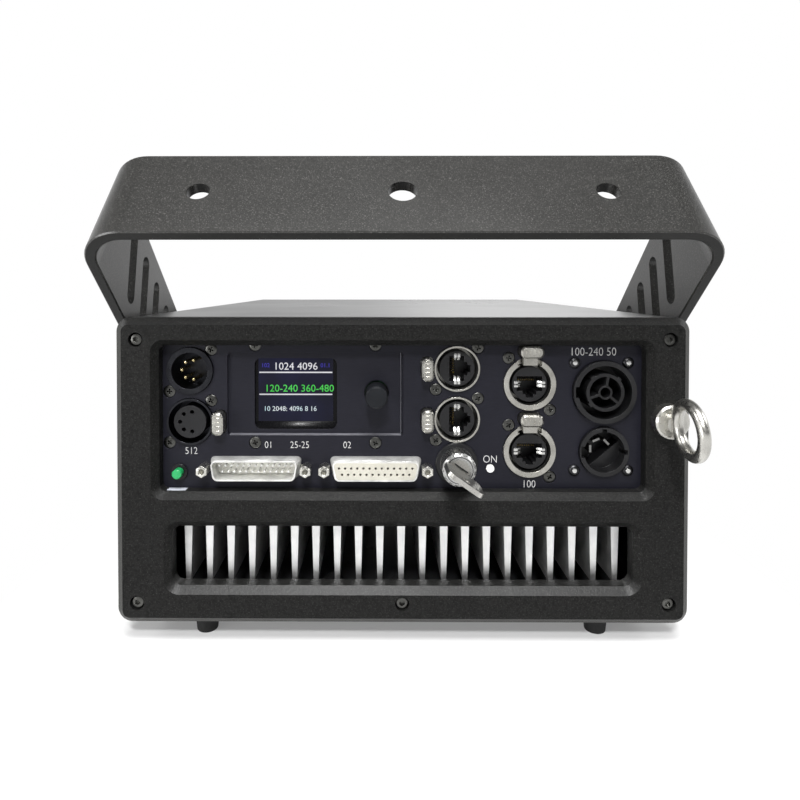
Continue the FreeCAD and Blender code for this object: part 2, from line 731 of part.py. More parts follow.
def end_frame(half_w, corner_r, chamfer, face, back):
    """Plate that closes one end: chamfered outline, air window and countersunk screw holes."""
    low, high = min(face, back), max(face, back)
    plate = slab(-half_w, half_w, FLOOR_GAP, TOP_Z, corner_r, low, high)
    plate = plate.makeChamfer(chamfer, edges_at(plate, "Y", face))
    cutters = [window(-AIR_WIN_HALF_W, AIR_WIN_HALF_W, AIR_WIN_LOW, AIR_WIN_HIGH,
                      AIR_WIN_R, AIR_WIN_FLARE, AIR_WIN_FLARE_L, face, back)]
    sink = math.copysign(CAP_HEAD_H + CAP_SINK, back - face)
    for x, z in END_SCREWS:
        cutters.append(rod_y(SCREW_HOLE_R, x, z, low, high))
        cutters.append(rod_y(CAP_BORE_R, x, z, min(face, face + sink), max(face, face + sink)))
    return plate.cut(cutters)


def rear_bezel():
    frame = end_frame(BEZEL_HALF_W, BEZEL_CORNER_R, BEZEL_CHAMFER, 0.0, BEZEL_T)
    opening = window(-PANEL_WIN_HALF_W, PANEL_WIN_HALF_W, PANEL_LOW, PANEL_HIGH,
                     PANEL_WIN_R, PANEL_WIN_FLARE, PANEL_WIN_FLARE_L, 0.0, BEZEL_T)
    eye_hole = rod_y(EYE_STUD_R + SCREW_GAP, EYE_X, EYE_Z, 0.0, EYE_STUD_L + SCREW_GAP)
    return frame.cut([opening, eye_hole])


def front_plate():
    frame = end_frame(COVER_HALF_W, COVER_CORNER_R, FRONT_CHAMFER, BODY_DEPTH, FRONT_Y)
    pocket = slab(BEAM_X - POCKET_HALF_W, BEAM_X + POCKET_HALF_W, BEAM_Z - POCKET_HALF_H,
                  BEAM_Z + POCKET_HALF_H, POCKET_R, POCKET_Y, BODY_DEPTH)
    aperture = slab(BEAM_X - APERTURE_HALF_W, BEAM_X + APERTURE_HALF_W, BEAM_Z - APERTURE_HALF_H,
                    BEAM_Z + APERTURE_HALF_H, APERTURE_R, FRONT_Y, BODY_DEPTH)
    stems = [rod_y(THUMB_STEM_R + SCREW_GAP, BEAM_X + side * MASK_SLOT_X, THUMB_Z, FRONT_Y, BODY_DEPTH)
             for side in (-1, 1)]
    return frame.cut([pocket, aperture] + stems)


def top_cover():
    """Extruded hood with screw channels along its four inner corners."""
    below = FLOOR_GAP - 2 * COVER_CORNER_R
    outer = slab(-COVER_HALF_W, COVER_HALF_W, below, TOP_Z, COVER_CORNER_R, REAR_Y, FRONT_Y)
    inner = slab(-INNER_HALF_W, INNER_HALF_W, below, TOP_Z - COVER_T, COVER_CORNER_R - COVER_T,
                 REAR_Y, FRONT_Y)
    skirt = block(-COVER_HALF_W, COVER_HALF_W, REAR_Y, FRONT_Y, below, FLOOR_GAP)
    hood = outer.cut([inner, skirt])
    channels = []
    cutters = []
    for side in (-1, 1):
        wall, core = side * INNER_HALF_W, side * (SCREW_X - CHANNEL_R)
        for z in (SCREW_LOW, SCREW_HIGH):
            low = BOTTOM_TOP if z == SCREW_LOW else z - CHANNEL_R
            channels.append(block(min(wall, core), max(wall, core), REAR_Y, FRONT_Y, low, z + CHANNEL_R))
            cutters.append(rod_y(SCREW_HOLE_R, side * SCREW_X, z, REAR_Y, FRONT_Y))
        ends = sorted((side * INNER_HALF_W, side * COVER_HALF_W))
        cutters.append(rod_x(BOSS_SPIGOT_R + SLIDE_GAP, PIVOT_Y, PIVOT_Z, *ends))
        for y in EDGE_SCREW_YS:
            cutters.append(rod_x(SCREW_HOLE_R, y, SINK_MID, *ends))
            cutters.append(rod_z(SCREW_HOLE_R, side * BOTTOM_SCREW_X, y, BOTTOM_TOP, SCREW_LOW))
    return fused([hood] + channels).cut(cutters)


def bottom_plate():
    """Floor of the housing with a ringed vent under each fan and a screw block at each end."""
    half_w = INNER_HALF_W - SLIDE_GAP
    plate = block(-half_w, half_w, REAR_Y, FRONT_Y, FLOOR_GAP, BOTTOM_TOP)
    block_l = END_SCREW_L - BEZEL_T + CHANNEL_WALL
    for start in (REAR_Y, FRONT_Y - block_l):
        lug = block(-CHANNEL_R, CHANNEL_R, start, start + block_l, FLOOR_GAP, SCREW_LOW)
        crown = rod_y(CHANNEL_R, 0.0, SCREW_LOW, start, start + block_l)
        plate = plate.fuse([lug, crown])
    cutters = [rod_y(SCREW_HOLE_R, 0.0, SCREW_LOW, REAR_Y, FRONT_Y)]
    for side in (-1, 1):
        for y in EDGE_SCREW_YS:
            cutters.append(rod_z(SCREW_HOLE_R, side * BOTTOM_SCREW_X, y, FLOOR_GAP, BOTTOM_TOP))
            cutters.append(rod_z(CAP_BORE_R, side * BOTTOM_SCREW_X, y, FLOOR_GAP, FLOOR_GAP + BOTTOM_HEAD_H))
        for y in FOOT_YS:
            cutters.append(rod_z(FOOT_STEM_R + SLIDE_GAP, side * FOOT_X, y, FLOOR_GAP, BOTTOM_TOP))
    plate = plate.removeSplitter().cut(cutters)
    return plate.cut([vent(x, y) for x, y in FANS])


def vent(x, y):
    """Cutter for concentric vent rings, held together by a cross of bars."""
    pitch = (FAN_BORE_R - FAN_HUB_R) / VENT_RING_COUNT
    bars = [block(x - FAN_BORE_R, x + FAN_BORE_R, y - VENT_BAR / 2, y + VENT_BAR / 2, FLOOR_GAP, BOTTOM_TOP),
            block(x - VENT_BAR / 2, x + VENT_BAR / 2, y - FAN_BORE_R, y + FAN_BORE_R, FLOOR_GAP, BOTTOM_TOP)]
    rings = []
    for i in range(VENT_RING_COUNT):
        inner = FAN_HUB_R + i * pitch
        outer = inner + pitch - VENT_BAR
        hole = rod_z(outer, x, y, FLOOR_GAP, BOTTOM_TOP)
        rings.append(hole.cut([rod_z(inner, x, y, FLOOR_GAP, BOTTOM_TOP)] + bars))
    return Part.makeCompound(rings)


def heat_sink():
    """Base plate that carries the optics, with tapered fins hanging into the air channel."""
    half_w = INNER_HALF_W - SLIDE_GAP
    base = block(-half_w, half_w, REAR_Y, FRONT_Y, SINK_LOW, SINK_TOP)
    start, end = REAR_Y + FIN_SETBACK, FRONT_Y - FIN_SETBACK
    solids = [base]
    for i in range(FIN_COUNT):
        x = (i - (FIN_COUNT - 1) / 2) * FIN_PITCH
        outline = [Vec(x - FIN_ROOT_T / 2, start, SINK_LOW), Vec(x + FIN_ROOT_T / 2, start, SINK_LOW),
                   Vec(x + FIN_TIP_T / 2, start, FIN_LOW), Vec(x - FIN_TIP_T / 2, start, FIN_LOW)]
        face = Part.Face(Part.makePolygon(outline + outline[:1]))
        solids.append(face.extrude(Vec(0, end - start, 0)))
    cutters = []
    for side in (-1, 1):
        ends = sorted((side * half_w, side * (half_w - EDGE_SCREW_L)))
        for y in EDGE_SCREW_YS:
            cutters.append(rod_x(SCREW_HOLE_R, y, SINK_MID, *ends))
    return fused(solids).cut(cutters)


def rubber_feet():
    """Tapered feet, each held by a stem in the floor plate."""
    foot = Part.makeCone(FOOT_TIP_R, FOOT_R, FLOOR_GAP)
    foot = foot.makeFillet(FOOT_EDGE, edges_at(foot, "Z", 0.0))
    foot = foot.fuse(rod_z(FOOT_STEM_R, 0.0, 0.0, FLOOR_GAP, BOTTOM_TOP)).removeSplitter()
    return Part.makeCompound([foot.translated(Vec(side * FOOT_X, y, 0))
                              for side in (-1, 1) for y in FOOT_YS])


def housing_screws():
    """Cap screws of both end frames, and the screws along the sides and the floor plate."""
    screws = []
    for x, z in END_SCREWS:
        for face, turn in ((0.0, 1), (BODY_DEPTH, -1)):
            head_top = face + turn * CAP_SINK
            head_low = head_top + turn * CAP_HEAD_H
            tip = face + turn * END_SCREW_L
            head = rod_y(CAP_HEAD_R, x, z, *sorted((head_top, head_low)))
            screws.append(head.fuse(rod_y(SCREW_R, x, z, *sorted((head_low, tip)))).removeSplitter())
    for side in (-1, 1):
        for y in EDGE_SCREW_YS:
            seat = side * COVER_HALF_W
            head = rod_x(CAP_HEAD_R, y, SINK_MID, *sorted((seat, seat + side * EDGE_HEAD_H)))
            stem = rod_x(SCREW_R, y, SINK_MID, *sorted((seat, seat - side * EDGE_SCREW_L)))
            screws.append(head.fuse(stem).removeSplitter())
            head_top = FLOOR_GAP + BOTTOM_HEAD_H
            head = rod_z(CAP_HEAD_R, side * BOTTOM_SCREW_X, y, FLOOR_GAP, head_top)
            stem = rod_z(SCREW_R, side * BOTTOM_SCREW_X, y, head_top, SCREW_LOW - SCREW_R)
            screws.append(head.fuse(stem).removeSplitter())
    return Part.makeCompound(screws)


# Yoke and its pivots

def yoke():
    """Flat bar bent into a bail, with rounded arm ends and slanted slots in both arms."""
    half_w = YOKE_W / 2
    foot = -half_w - YOKE_BEND_R
    inner_r = YOKE_BEND_R - YOKE_T
    outer = slab(-YOKE_OUTER, YOKE_OUTER, foot, YOKE_REACH, YOKE_BEND_R, -half_w, half_w)
    inner = slab(-YOKE_INNER, YOKE_INNER, foot - YOKE_T, YOKE_REACH - YOKE_T, inner_r, -half_w, half_w)
    side = block(-YOKE_OUTER, YOKE_OUTER, -half_w, half_w, 0.0, YOKE_REACH)
    ends = rod_x(half_w, 0.0, 0.0, -YOKE_OUTER, YOKE_OUTER)
    bail = outer.cut(inner).common(side.fuse(ends)).removeSplitter()
    rims = edges_at(bail, "Y", half_w) + edges_at(bail, "Y", -half_w)
    bail = bail.makeChamfer(YOKE_EDGE, rims)
    cutters = [rod_x(STUD_R + STUD_GAP, 0.0, 0.0, -YOKE_OUTER, YOKE_OUTER),
               rod_z(YOKE_HOLE_R, 0.0, 0.0, YOKE_REACH - YOKE_T, YOKE_REACH)]
    for turn in (-1, 1):
        cutters.append(rod_z(YOKE_SIDE_HOLE_R, turn * YOKE_SIDE_HOLE_X, 0.0, YOKE_REACH - YOKE_T, YOKE_REACH))
    for i in range(SLOT_COUNT):
        cutters.append(arm_slot(YOKE_REACH - SLOT_FIRST - i * SLOT_PITCH))
    bail = bail.cut(cutters)
    bail.rotate(Vec(0, 0, 0), Vec(1, 0, 0), YOKE_TILT)
    return bail.translated(Vec(0, PIVOT_Y, PIVOT_Z))


def arm_slot(height):
    """Cutter through both arms for one slanted slot."""
    run = (SLOT_L - SLOT_W) / 2
    reach = 2 * YOKE_OUTER
    bar = block(-YOKE_OUTER, YOKE_OUTER, -run, run, -SLOT_W / 2, SLOT_W / 2)
    ends = [rod_x(SLOT_W / 2, y, 0.0, -reach / 2, reach / 2) for y in (-run, run)]
    slot = fused([bar] + ends)
    slot.rotate(Vec(0, 0, 0), Vec(1, 0, 0), SLOT_TURN)
    return slot.translated(Vec(0, 0, height))


def pivot_bosses():
    bosses = []
    face = COVER_HALF_W + PIVOT_GAP - WASHER_T
    back = COVER_HALF_W - BOSS_SPIGOT_L
    for side in (-1, 1):
        flange = rod_x(BOSS_R, PIVOT_Y, PIVOT_Z, *sorted((side * COVER_HALF_W, side * face)))
        spigot = rod_x(BOSS_SPIGOT_R, PIVOT_Y, PIVOT_Z, *sorted((side * COVER_HALF_W, side * back)))
        bore = rod_x(STUD_R + RUN_GAP, PIVOT_Y, PIVOT_Z, *sorted((side * back, side * face)))
        bosses.append(fused([flange, spigot]).cut(bore))
    return Part.makeCompound(bosses)


def pivot_washers():
    washers = []
    for side in (-1, 1):
        ends = sorted((side * YOKE_INNER, side * (YOKE_INNER - WASHER_T)))
        disc = rod_x(BOSS_R, PIVOT_Y, PIVOT_Z, *ends)
        washers.append(disc.cut(rod_x(STUD_R + STUD_GAP, PIVOT_Y, PIVOT_Z, *ends)))
    return Part.makeCompound(washers)


def clamp_knob(side):
    """Scalloped hand knob whose stud runs through the yoke arm into the boss."""
    hub_end = YOKE_OUTER + KNOB_HUB_L
    grip_end = hub_end + KNOB_GRIP
    hub = rod_x(KNOB_HUB_R, 0.0, 0.0, YOKE_OUTER, hub_end)
    grip = rod_x(KNOB_R, 0.0, 0.0, hub_end, grip_end)
    grip = grip.makeChamfer(KNOB_EDGE, edges_at(grip, "X", grip_end) + edges_at(grip, "X", hub_end))
    scallops = [rod_x(KNOB_SCALLOP_R, y, z, hub_end, grip_end)
                for y, z in ring(KNOB_SCALLOP_COUNT, KNOB_R + KNOB_SCALLOP_OUT)]
    stud = rod_x(STUD_R, 0.0, 0.0, YOKE_OUTER - STUD_L, YOKE_OUTER)
    knob = fused([grip.cut(scallops), hub, stud])
    if side < 0:
        knob.rotate(Vec(0, 0, 0), Vec(0, 0, 1), 180)
    return knob.translated(Vec(0, PIVOT_Y, PIVOT_Z))


def safety_eye():
    """Forged eye: round collar on the bezel, ring standing out towards the viewer."""
    collar = lathe([(0, 0), (EYE_COLLAR_R, 0), (EYE_COLLAR_R, EYE_COLLAR_EDGE - EYE_COLLAR_H),
                    (EYE_COLLAR_R - EYE_COLLAR_EDGE, -EYE_COLLAR_H), (0, -EYE_COLLAR_H)], 0.0, 0.0)
    neck = rod_y(EYE_NECK_R, 0.0, 0.0, EYE_RING_R - EYE_CENTRE, 0.0)
    stud = rod_y(EYE_STUD_R, 0.0, 0.0, 0.0, EYE_STUD_L)
    loop = Part.makeTorus(EYE_RING_R, EYE_WIRE_R, Vec(0, -EYE_CENTRE, 0), Vec(1, 0, 0))
    hole = Part.makeCylinder(EYE_RING_R - EYE_WIRE_R, 2 * EYE_NECK_R,
                             Vec(-EYE_NECK_R, -EYE_CENTRE, 0), Vec(1, 0, 0))
    eye = fused([fused([collar, neck, stud]).cut(hole), loop])
    eye.rotate(Vec(0, 0, 0), Vec(0, 1, 0), -EYE_TURN)
    return eye.translated(Vec(EYE_X, 0, EYE_Z))


# Connector panel

def latch_places():
    """Centre and outward turn of each latch tab, about its socket."""
    places = {"xlr_latch": (XLR_X, XLR_SOCKET_Z, 0.0)}
    for i, (x, z) in enumerate(SIDE_NETS):
        places["network_latch_%d" % (i + 1)] = (x, z, LEFT_TURN)
    for i, (x, z) in enumerate(TOP_NETS):
        places["network_latch_%d" % (i + 3)] = (x, z, TOP_TURN)
    return places


def latch_start(turn):
    """Distance from the socket axis to the near side of its latch tab."""
    return TOP_LATCH_START if turn == TOP_TURN else LATCH_START


def latch_solid(place, grow, front, back):
    """Tab outline, grown by the clearance, between two depths."""
    x, z, turn = place
    start = latch_start(turn)
    tab = slab(start - grow, start + LATCH_H + grow, -LATCH_W / 2 - grow, LATCH_W / 2 + grow,
               LATCH_R, front, back)
    tab.rotate(Vec(0, 0, 0), Vec(0, 1, 0), -turn)
    return tab.translated(Vec(x, 0, z))


def latch(name):
    """Sprung tab that stands out of its slot, with a lip that keeps it behind the panel."""
    place = latch_places()[name]
    x, z, turn = place
    start = latch_start(turn)
    tab = latch_solid(place, 0.0, PANEL_Y - LATCH_PROUD, PANEL_BACK + MOVE_GAP)
    tab = tab.makeChamfer(LATCH_EDGE, edges_at(tab, "Y", PANEL_Y - LATCH_PROUD))
    lip = block(start, start + LATCH_H, PANEL_BACK + MOVE_GAP, PANEL_BACK + MOVE_GAP + LATCH_LIP_T,
                -LATCH_W / 2 - LATCH_LIP, LATCH_W / 2 + LATCH_LIP)
    solids = [lip]
    if turn == TOP_TURN:
        solids.append(latch_neck(NECK_W / 2, 0.0, SHELL_FRONT - NECK_PROUD, PANEL_Y + NECK_SINK))
    for solid in solids:
        solid.rotate(Vec(0, 0, 0), Vec(0, 1, 0), -turn)
    return fused([tab] + [solid.translated(Vec(x, 0, z)) for solid in solids])


def latch_neck(half, grow, front, back):
    """Tongue from the tab across the rim into the socket mouth."""
    inner = NET_BORE_R - NECK_LAP - grow
    return block(inner, latch_start(TOP_TURN) + grow, front, back, -half, half)


def neck_notch(x, z, half):
    """Cutter for the neck of a top latch and its travel."""
    notch = latch_neck(half, MOVE_GAP, SHELL_FRONT, PANEL_Y + NECK_SINK + LATCH_TRAVEL + MOVE_GAP)
    notch.rotate(Vec(0, 0, 0), Vec(0, 1, 0), -TOP_TURN)
    return notch.translated(Vec(x, 0, z))


def latch_room(place):
    """Cutter behind the panel for the latch and its travel."""
    x, z, turn = place
    start = latch_start(turn)
    end = PANEL_BACK + 2 * MOVE_GAP + LATCH_LIP_T + LATCH_TRAVEL
    half = LATCH_W / 2 + LATCH_LIP + MOVE_GAP
    room = block(start - MOVE_GAP, start + LATCH_H + MOVE_GAP, PANEL_BACK, end, -half, half)
    room.rotate(Vec(0, 0, 0), Vec(0, 1, 0), -turn)
    return room.translated(Vec(x, 0, z))


def panel_screw_spots():
    """Places of the small screws, each with the depth of what it runs into."""
    round_ones = [(XLR_X, XLR_PLUG_Z), (XLR_X, XLR_SOCKET_Z)] + SIDE_NETS
    spots = [(x + side * EAR_OUT, z + side * EAR_OUT) for x, z in round_ones for side in (-1, 1)]
    spots += [(x - side * TOP_EAR_X, z + side * TOP_EAR_Z) for x, z in TOP_NETS for side in (-1, 1)]
    return spots + BOARD_SCREWS


def connector_panel():
    """Panel behind the bezel window, cut for every socket, with a sunk field for the display."""
    half_w = PANEL_WIN_HALF_W + PANEL_LAP
    plate = block(-half_w, half_w, PANEL_Y, PANEL_BACK, SINK_TOP, PANEL_HIGH + PANEL_LAP)
    cutters = []
    rounds = [(XLR_X, XLR_PLUG_Z, XLR_R), (XLR_X, XLR_SOCKET_Z, XLR_R)]
    rounds += [(x, z, SIDE_NET_R) for x, z in SIDE_NETS]
    rounds += [(x, z, TOP_NET_R) for x, z in TOP_NETS]
    rounds += [(POWER_X, OUTLET_Z, OUTLET_R), (POWER_X, INLET_Z, INLET_R)]
    rounds += [(KEY_X, KEY_Z, LOCK_THREAD_R), (LAMP_X, LAMP_Z, LAMP_R), (BUTTON_X, BUTTON_Z, BUSH_STEM_R)]
    rounds += [(x, z, POST_SHANK_R) for x, z in DSUB_POSTS]
    rounds += [(x, z, PAN_SCREW_R) for x, z in panel_screw_spots() + POWER_SCREWS]
    for x, z, radius in rounds:
        cutters.append(rod_y(radius + SHELL_GAP, x, z, PANEL_Y, PANEL_BACK))
    for x, z in panel_screw_spots():
        cutters.append(rod_y(PAN_HEAD_R + SHELL_GAP, x, z, PANEL_Y, PANEL_Y + PAN_HEAD_H + PAN_SINK))
    for place in latch_places().values():
        cutters.append(latch_solid(place, MOVE_GAP, PANEL_Y, PANEL_BACK))
    cutters += [neck_notch(x, z, NECK_W / 2 + MOVE_GAP) for x, z in TOP_NETS]
    for x in (DSUB_PLUG_X, DSUB_SOCKET_X):
        cutters.append(dsub_prism(x, DSUB_GAP, PANEL_Y, PANEL_BACK))
    cutters.append(slab(DISPLAY_LEFT, DISPLAY_RIGHT, DISPLAY_LOW, DISPLAY_HIGH,
                        DISPLAY_R, PANEL_Y, DISPLAY_FLOOR))
    cutters.append(slab(SCREEN_LEFT, SCREEN_RIGHT, SCREEN_LOW, SCREEN_HIGH,
                        SCREEN_R, PANEL_Y, PANEL_BACK))
    cutters.append(rod_y(DIAL_HOLE_R, DIAL_X, DIAL_Z, PANEL_Y, PANEL_BACK))
    return plate.cut(cutters)


def panel_screws():
    screws = []
    for x, z in panel_screw_spots():
        top = PANEL_Y + PAN_SINK
        head = rod_y(PAN_HEAD_R, x, z, top, top + PAN_HEAD_H)
        stem = rod_y(PAN_SCREW_R, x, z, top + PAN_HEAD_H, top + PAN_SCREW_L)
        screws.append(head.fuse(stem).removeSplitter())
    return Part.makeCompound(screws)


def power_screws():
    """Round-headed screws at the corners of the mains connector."""
    screws = []
    for x, z in POWER_SCREWS:
        ball_r = (DOME_R ** 2 + DOME_H ** 2) / (2 * DOME_H)
        ball = Part.makeSphere(ball_r, Vec(x, PANEL_Y + ball_r - DOME_H, z))
        head = ball.common(rod_y(DOME_R, x, z, PANEL_Y - DOME_H, PANEL_Y))
        stem = rod_y(PAN_SCREW_R, x, z, PANEL_Y, PANEL_Y + PAN_SCREW_L)
        screws.append(head.fuse(stem).removeSplitter())
    return Part.makeCompound(screws)


# Round sockets

def eared_flange(x, z):
    """Disc behind the panel with two screw ears on a diagonal."""
    disc = rod_y(FLANGE_R, x, z, PANEL_BACK, PANEL_BACK + FLANGE_T)
    reach = EAR_OUT * math.sqrt(2)
    bar = block(-reach, reach, PANEL_BACK, PANEL_BACK + FLANGE_T, -EAR_R, EAR_R)
    bar.rotate(Vec(0, 0, 0), Vec(0, 1, 0), -EAR_TURN)
    ears = [rod_y(EAR_R, x + side * EAR_OUT, z + side * EAR_OUT, PANEL_BACK, PANEL_BACK + FLANGE_T)
            for side in (-1, 1)]
    flange = fused([disc, bar.translated(Vec(x, 0, z))] + ears)
    holes = [rod_y(PAN_SCREW_R + SHELL_GAP, x + side * EAR_OUT, z + side * EAR_OUT,
                   PANEL_BACK, PANEL_BACK + FLANGE_T) for side in (-1, 1)]
    return flange.cut(holes)


def shell(x, z, radius, bore, flange):
    """Barrel through the panel with its flange behind and a round cavity in front."""
    barrel = rod_y(radius, x, z, SHELL_FRONT, SHELL_BACK)
    return fused([barrel, flange]).cut(rod_y(bore, x, z, SHELL_FRONT, CAVITY_END))


def xlr_plug_shell():
    return shell(XLR_X, XLR_PLUG_Z, XLR_R, XLR_PLUG_BORE_R, eared_flange(XLR_X, XLR_PLUG_Z))


def xlr_socket_shell():
    body = shell(XLR_X, XLR_SOCKET_Z, XLR_R, XLR_SOCKET_BORE_R, eared_flange(XLR_X, XLR_SOCKET_Z))
    return body.cut(latch_room(latch_places()["xlr_latch"]))


def contact_spots(start):
    return ring(XLR_CONTACT_COUNT, XLR_PIN_CIRCLE_R, start, XLR_CONTACT_TURN)


def xlr_socket_insert():
    """Insulator with five contact holes, open towards the left."""
    front = SHELL_FRONT + XLR_INSERT_SINK
    insert = rod_y(XLR_INSERT_R, XLR_X, XLR_SOCKET_Z, front, CAVITY_END)
    first = 180.0 - XLR_CONTACT_TURN * (XLR_CONTACT_COUNT - 1) / 2
    holes = [rod_y(XLR_HOLE_R, XLR_X + u, XLR_SOCKET_Z + w, front, front + XLR_HOLE_L)
             for u, w in contact_spots(first)]
    return insert.cut(holes)


def contact_pins():
    """Pins of the round plug and of the signal plug."""
    first = 180.0 - XLR_CONTACT_TURN * (XLR_CONTACT_COUNT - 1) / 2
    pins = [rod_y(XLR_PIN_R, XLR_X + u, XLR_PLUG_Z + w, CAVITY_END - XLR_PIN_L, CAVITY_END)
            for u, w in contact_spots(first)]
    floor = PANEL_BACK
    pins += [rod_y(DSUB_PIN_R, x, z, floor - DSUB_PIN_L, floor) for x, z in dsub_contacts(DSUB_PLUG_X, -1)]
    return Part.makeCompound(pins)


def network_shells():
    """Shells of the network sockets, cleared behind the panel for every latch."""
    shells = []
    rooms = [latch_room(place) for place in latch_places().values()]
    for x, z in SIDE_NETS:
        shells.append(shell(x, z, SIDE_NET_R, NET_BORE_R, eared_flange(x, z)).cut(rooms))
    for x, z in TOP_NETS:
        flange = slab(x - TOP_FLANGE_HALF_W, x + TOP_FLANGE_HALF_W, z - TOP_FLANGE_HALF_H,
                      z + TOP_FLANGE_HALF_H, TOP_FLANGE_R, PANEL_BACK, PANEL_BACK + FLANGE_T)
        holes = [rod_y(PAN_SCREW_R + SHELL_GAP, x - side * TOP_EAR_X, z + side * TOP_EAR_Z,
                       PANEL_BACK, PANEL_BACK + FLANGE_T) for side in (-1, 1)]
        body = shell(x, z, TOP_NET_R, NET_BORE_R, flange.cut(holes))
        shells.append(body.cut([neck_notch(x, z, NOTCH_W / 2)] + rooms))
    return Part.makeCompound(shells)


def jack_cutter(front):
    """Stepped mouth for a network plug, key side down, about the origin."""
    end = front + JACK_DEPTH
    steps = [(JACK_W, 0.0, JACK_H), (JACK_KEY_W, -JACK_KEY_H, JACK_H),
             (JACK_TIP_W, -JACK_KEY_H - JACK_TIP_H, JACK_H)]
    mouth = fused([block(-w / 2, w / 2, front, end, low, high) for w, low, high in steps])
    return mouth.translated(Vec(0, 0, (JACK_KEY_H + JACK_TIP_H - JACK_H) / 2 - JACK_DROP))


def network_inserts():
    front = SHELL_FRONT + NET_INSERT_SINK
    inserts = []
    for sockets, turn in ((SIDE_NETS, -90.0), (TOP_NETS, 0.0)):
        for x, z in sockets:
            mouth = jack_cutter(front)
            mouth.rotate(Vec(0, 0, 0), Vec(0, 1, 0), turn)
            body = rod_y(NET_INSERT_R, x, z, front, CAVITY_END)
            inserts.append(body.cut(mouth.translated(Vec(x, 0, z))))
    return Part.makeCompound(inserts)


# Signal plug and socket

def dsub_prism(x, grow, front, back):
    """D-shaped prism, wide side up, grown all round by the given amount."""
    half_h = DSUB_H / 2 + grow
    lean = math.tan(math.radians(DSUB_SLANT))
    half_w = DSUB_W / 2 + grow
    tuck = DSUB_H * lean
    corners = [Vec(x - half_w + tuck, front, DSUB_Z - half_h), Vec(x + half_w - tuck, front, DSUB_Z - half_h),
               Vec(x + half_w, front, DSUB_Z + half_h), Vec(x - half_w, front, DSUB_Z + half_h)]
    return Part.Face(rounded_wire(corners, DSUB_R + grow)).extrude(Vec(0, back - front, 0))


def dsub_contacts(x, mirror):
    """Contact places: the long row on top, the short row half a pitch inside it."""
    spots = []
    rows = ((DSUB_LONG_ROW_COUNT, DSUB_Z + DSUB_ROW / 2), (DSUB_LONG_ROW_COUNT - 1, DSUB_Z - DSUB_ROW / 2))
    for count, z in rows:
        for i in range(count):
            spots.append((x + mirror * (i - (count - 1) / 2) * DSUB_PITCH, z))
    return spots


def dsub_shell(x):
    """Drawn tin shell with its flange behind the panel."""
    skirt = dsub_prism(x, 0.0, DSUB_FRONT, PANEL_BACK + DSUB_FLANGE_T)
    half_w, half_h = DSUB_FLANGE_W / 2, DSUB_FLANGE_H / 2
    flange = slab(x - half_w, x + half_w, DSUB_Z - half_h, DSUB_Z + half_h, SMALL_R,
                  PANEL_BACK, PANEL_BACK + DSUB_FLANGE_T)
    cutters = [dsub_prism(x, -DSUB_WALL, DSUB_FRONT, PANEL_BACK + DSUB_FLANGE_T)]
    for side in (-1, 1):
        cutters.append(rod_y(POST_SHANK_R + SHELL_GAP, x + side * DSUB_POST_SPAN / 2, DSUB_Z,
                             PANEL_BACK, PANEL_BACK + DSUB_FLANGE_T))
    return fused([skirt, flange]).cut(cutters)


def signal_plug_shell():
    return dsub_shell(DSUB_PLUG_X)


def signal_socket_shell():
    return dsub_shell(DSUB_SOCKET_X)


def insulator(x, front):
    """Moulded block inside the shell, running back to the solder side."""
    back = PANEL_BACK + DSUB_FLANGE_T
    core = dsub_prism(x, -DSUB_WALL - SLIDE_GAP, front, back)
    half_h = DSUB_FLANGE_H / 2
    rear = block(x - DSUB_W / 2, x + DSUB_W / 2, back, back + DSUB_BACK_L, DSUB_Z - half_h, DSUB_Z + half_h)
    return fused([core, rear])


def signal_plug_insulator():
    return insulator(DSUB_PLUG_X, PANEL_BACK)


def signal_socket_insulator():
    front = DSUB_FRONT - DSUB_SOCKET_LIFT
    body = insulator(DSUB_SOCKET_X, front)
    holes = [rod_y(DSUB_HOLE_R, x, z, front, front + DSUB_HOLE_L) for x, z in dsub_contacts(DSUB_SOCKET_X, 1)]
    return body.cut(holes)


def jack_posts():
    """Hexagonal screw posts beside the signal connectors."""
    posts = []
    for x, z in DSUB_POSTS:
        outline = ring(6, POST_AF / math.sqrt(3), POST_START_TURN)
        corners = [Vec(x + u, PANEL_Y - POST_PROUD, z + w) for u, w in outline]
        head = Part.Face(Part.makePolygon(corners + corners[:1])).extrude(Vec(0, POST_PROUD, 0))
        stem = rod_y(POST_SHANK_R, x, z, PANEL_Y, PANEL_Y + POST_SHANK_L)
        bore = rod_y(POST_BORE_R, x, z, PANEL_Y - POST_PROUD, PANEL_Y - POST_PROUD + POST_BORE_L)
        posts.append(head.fuse(stem).cut(bore))
    return Part.makeCompound(posts)


# Mains outlet and inlet

def tube_y(outer, thick, x, z, y0, y1):
    return rod_y(outer, x, z, y0, y1).cut(rod_y(outer - thick, x, z, y0, y1))


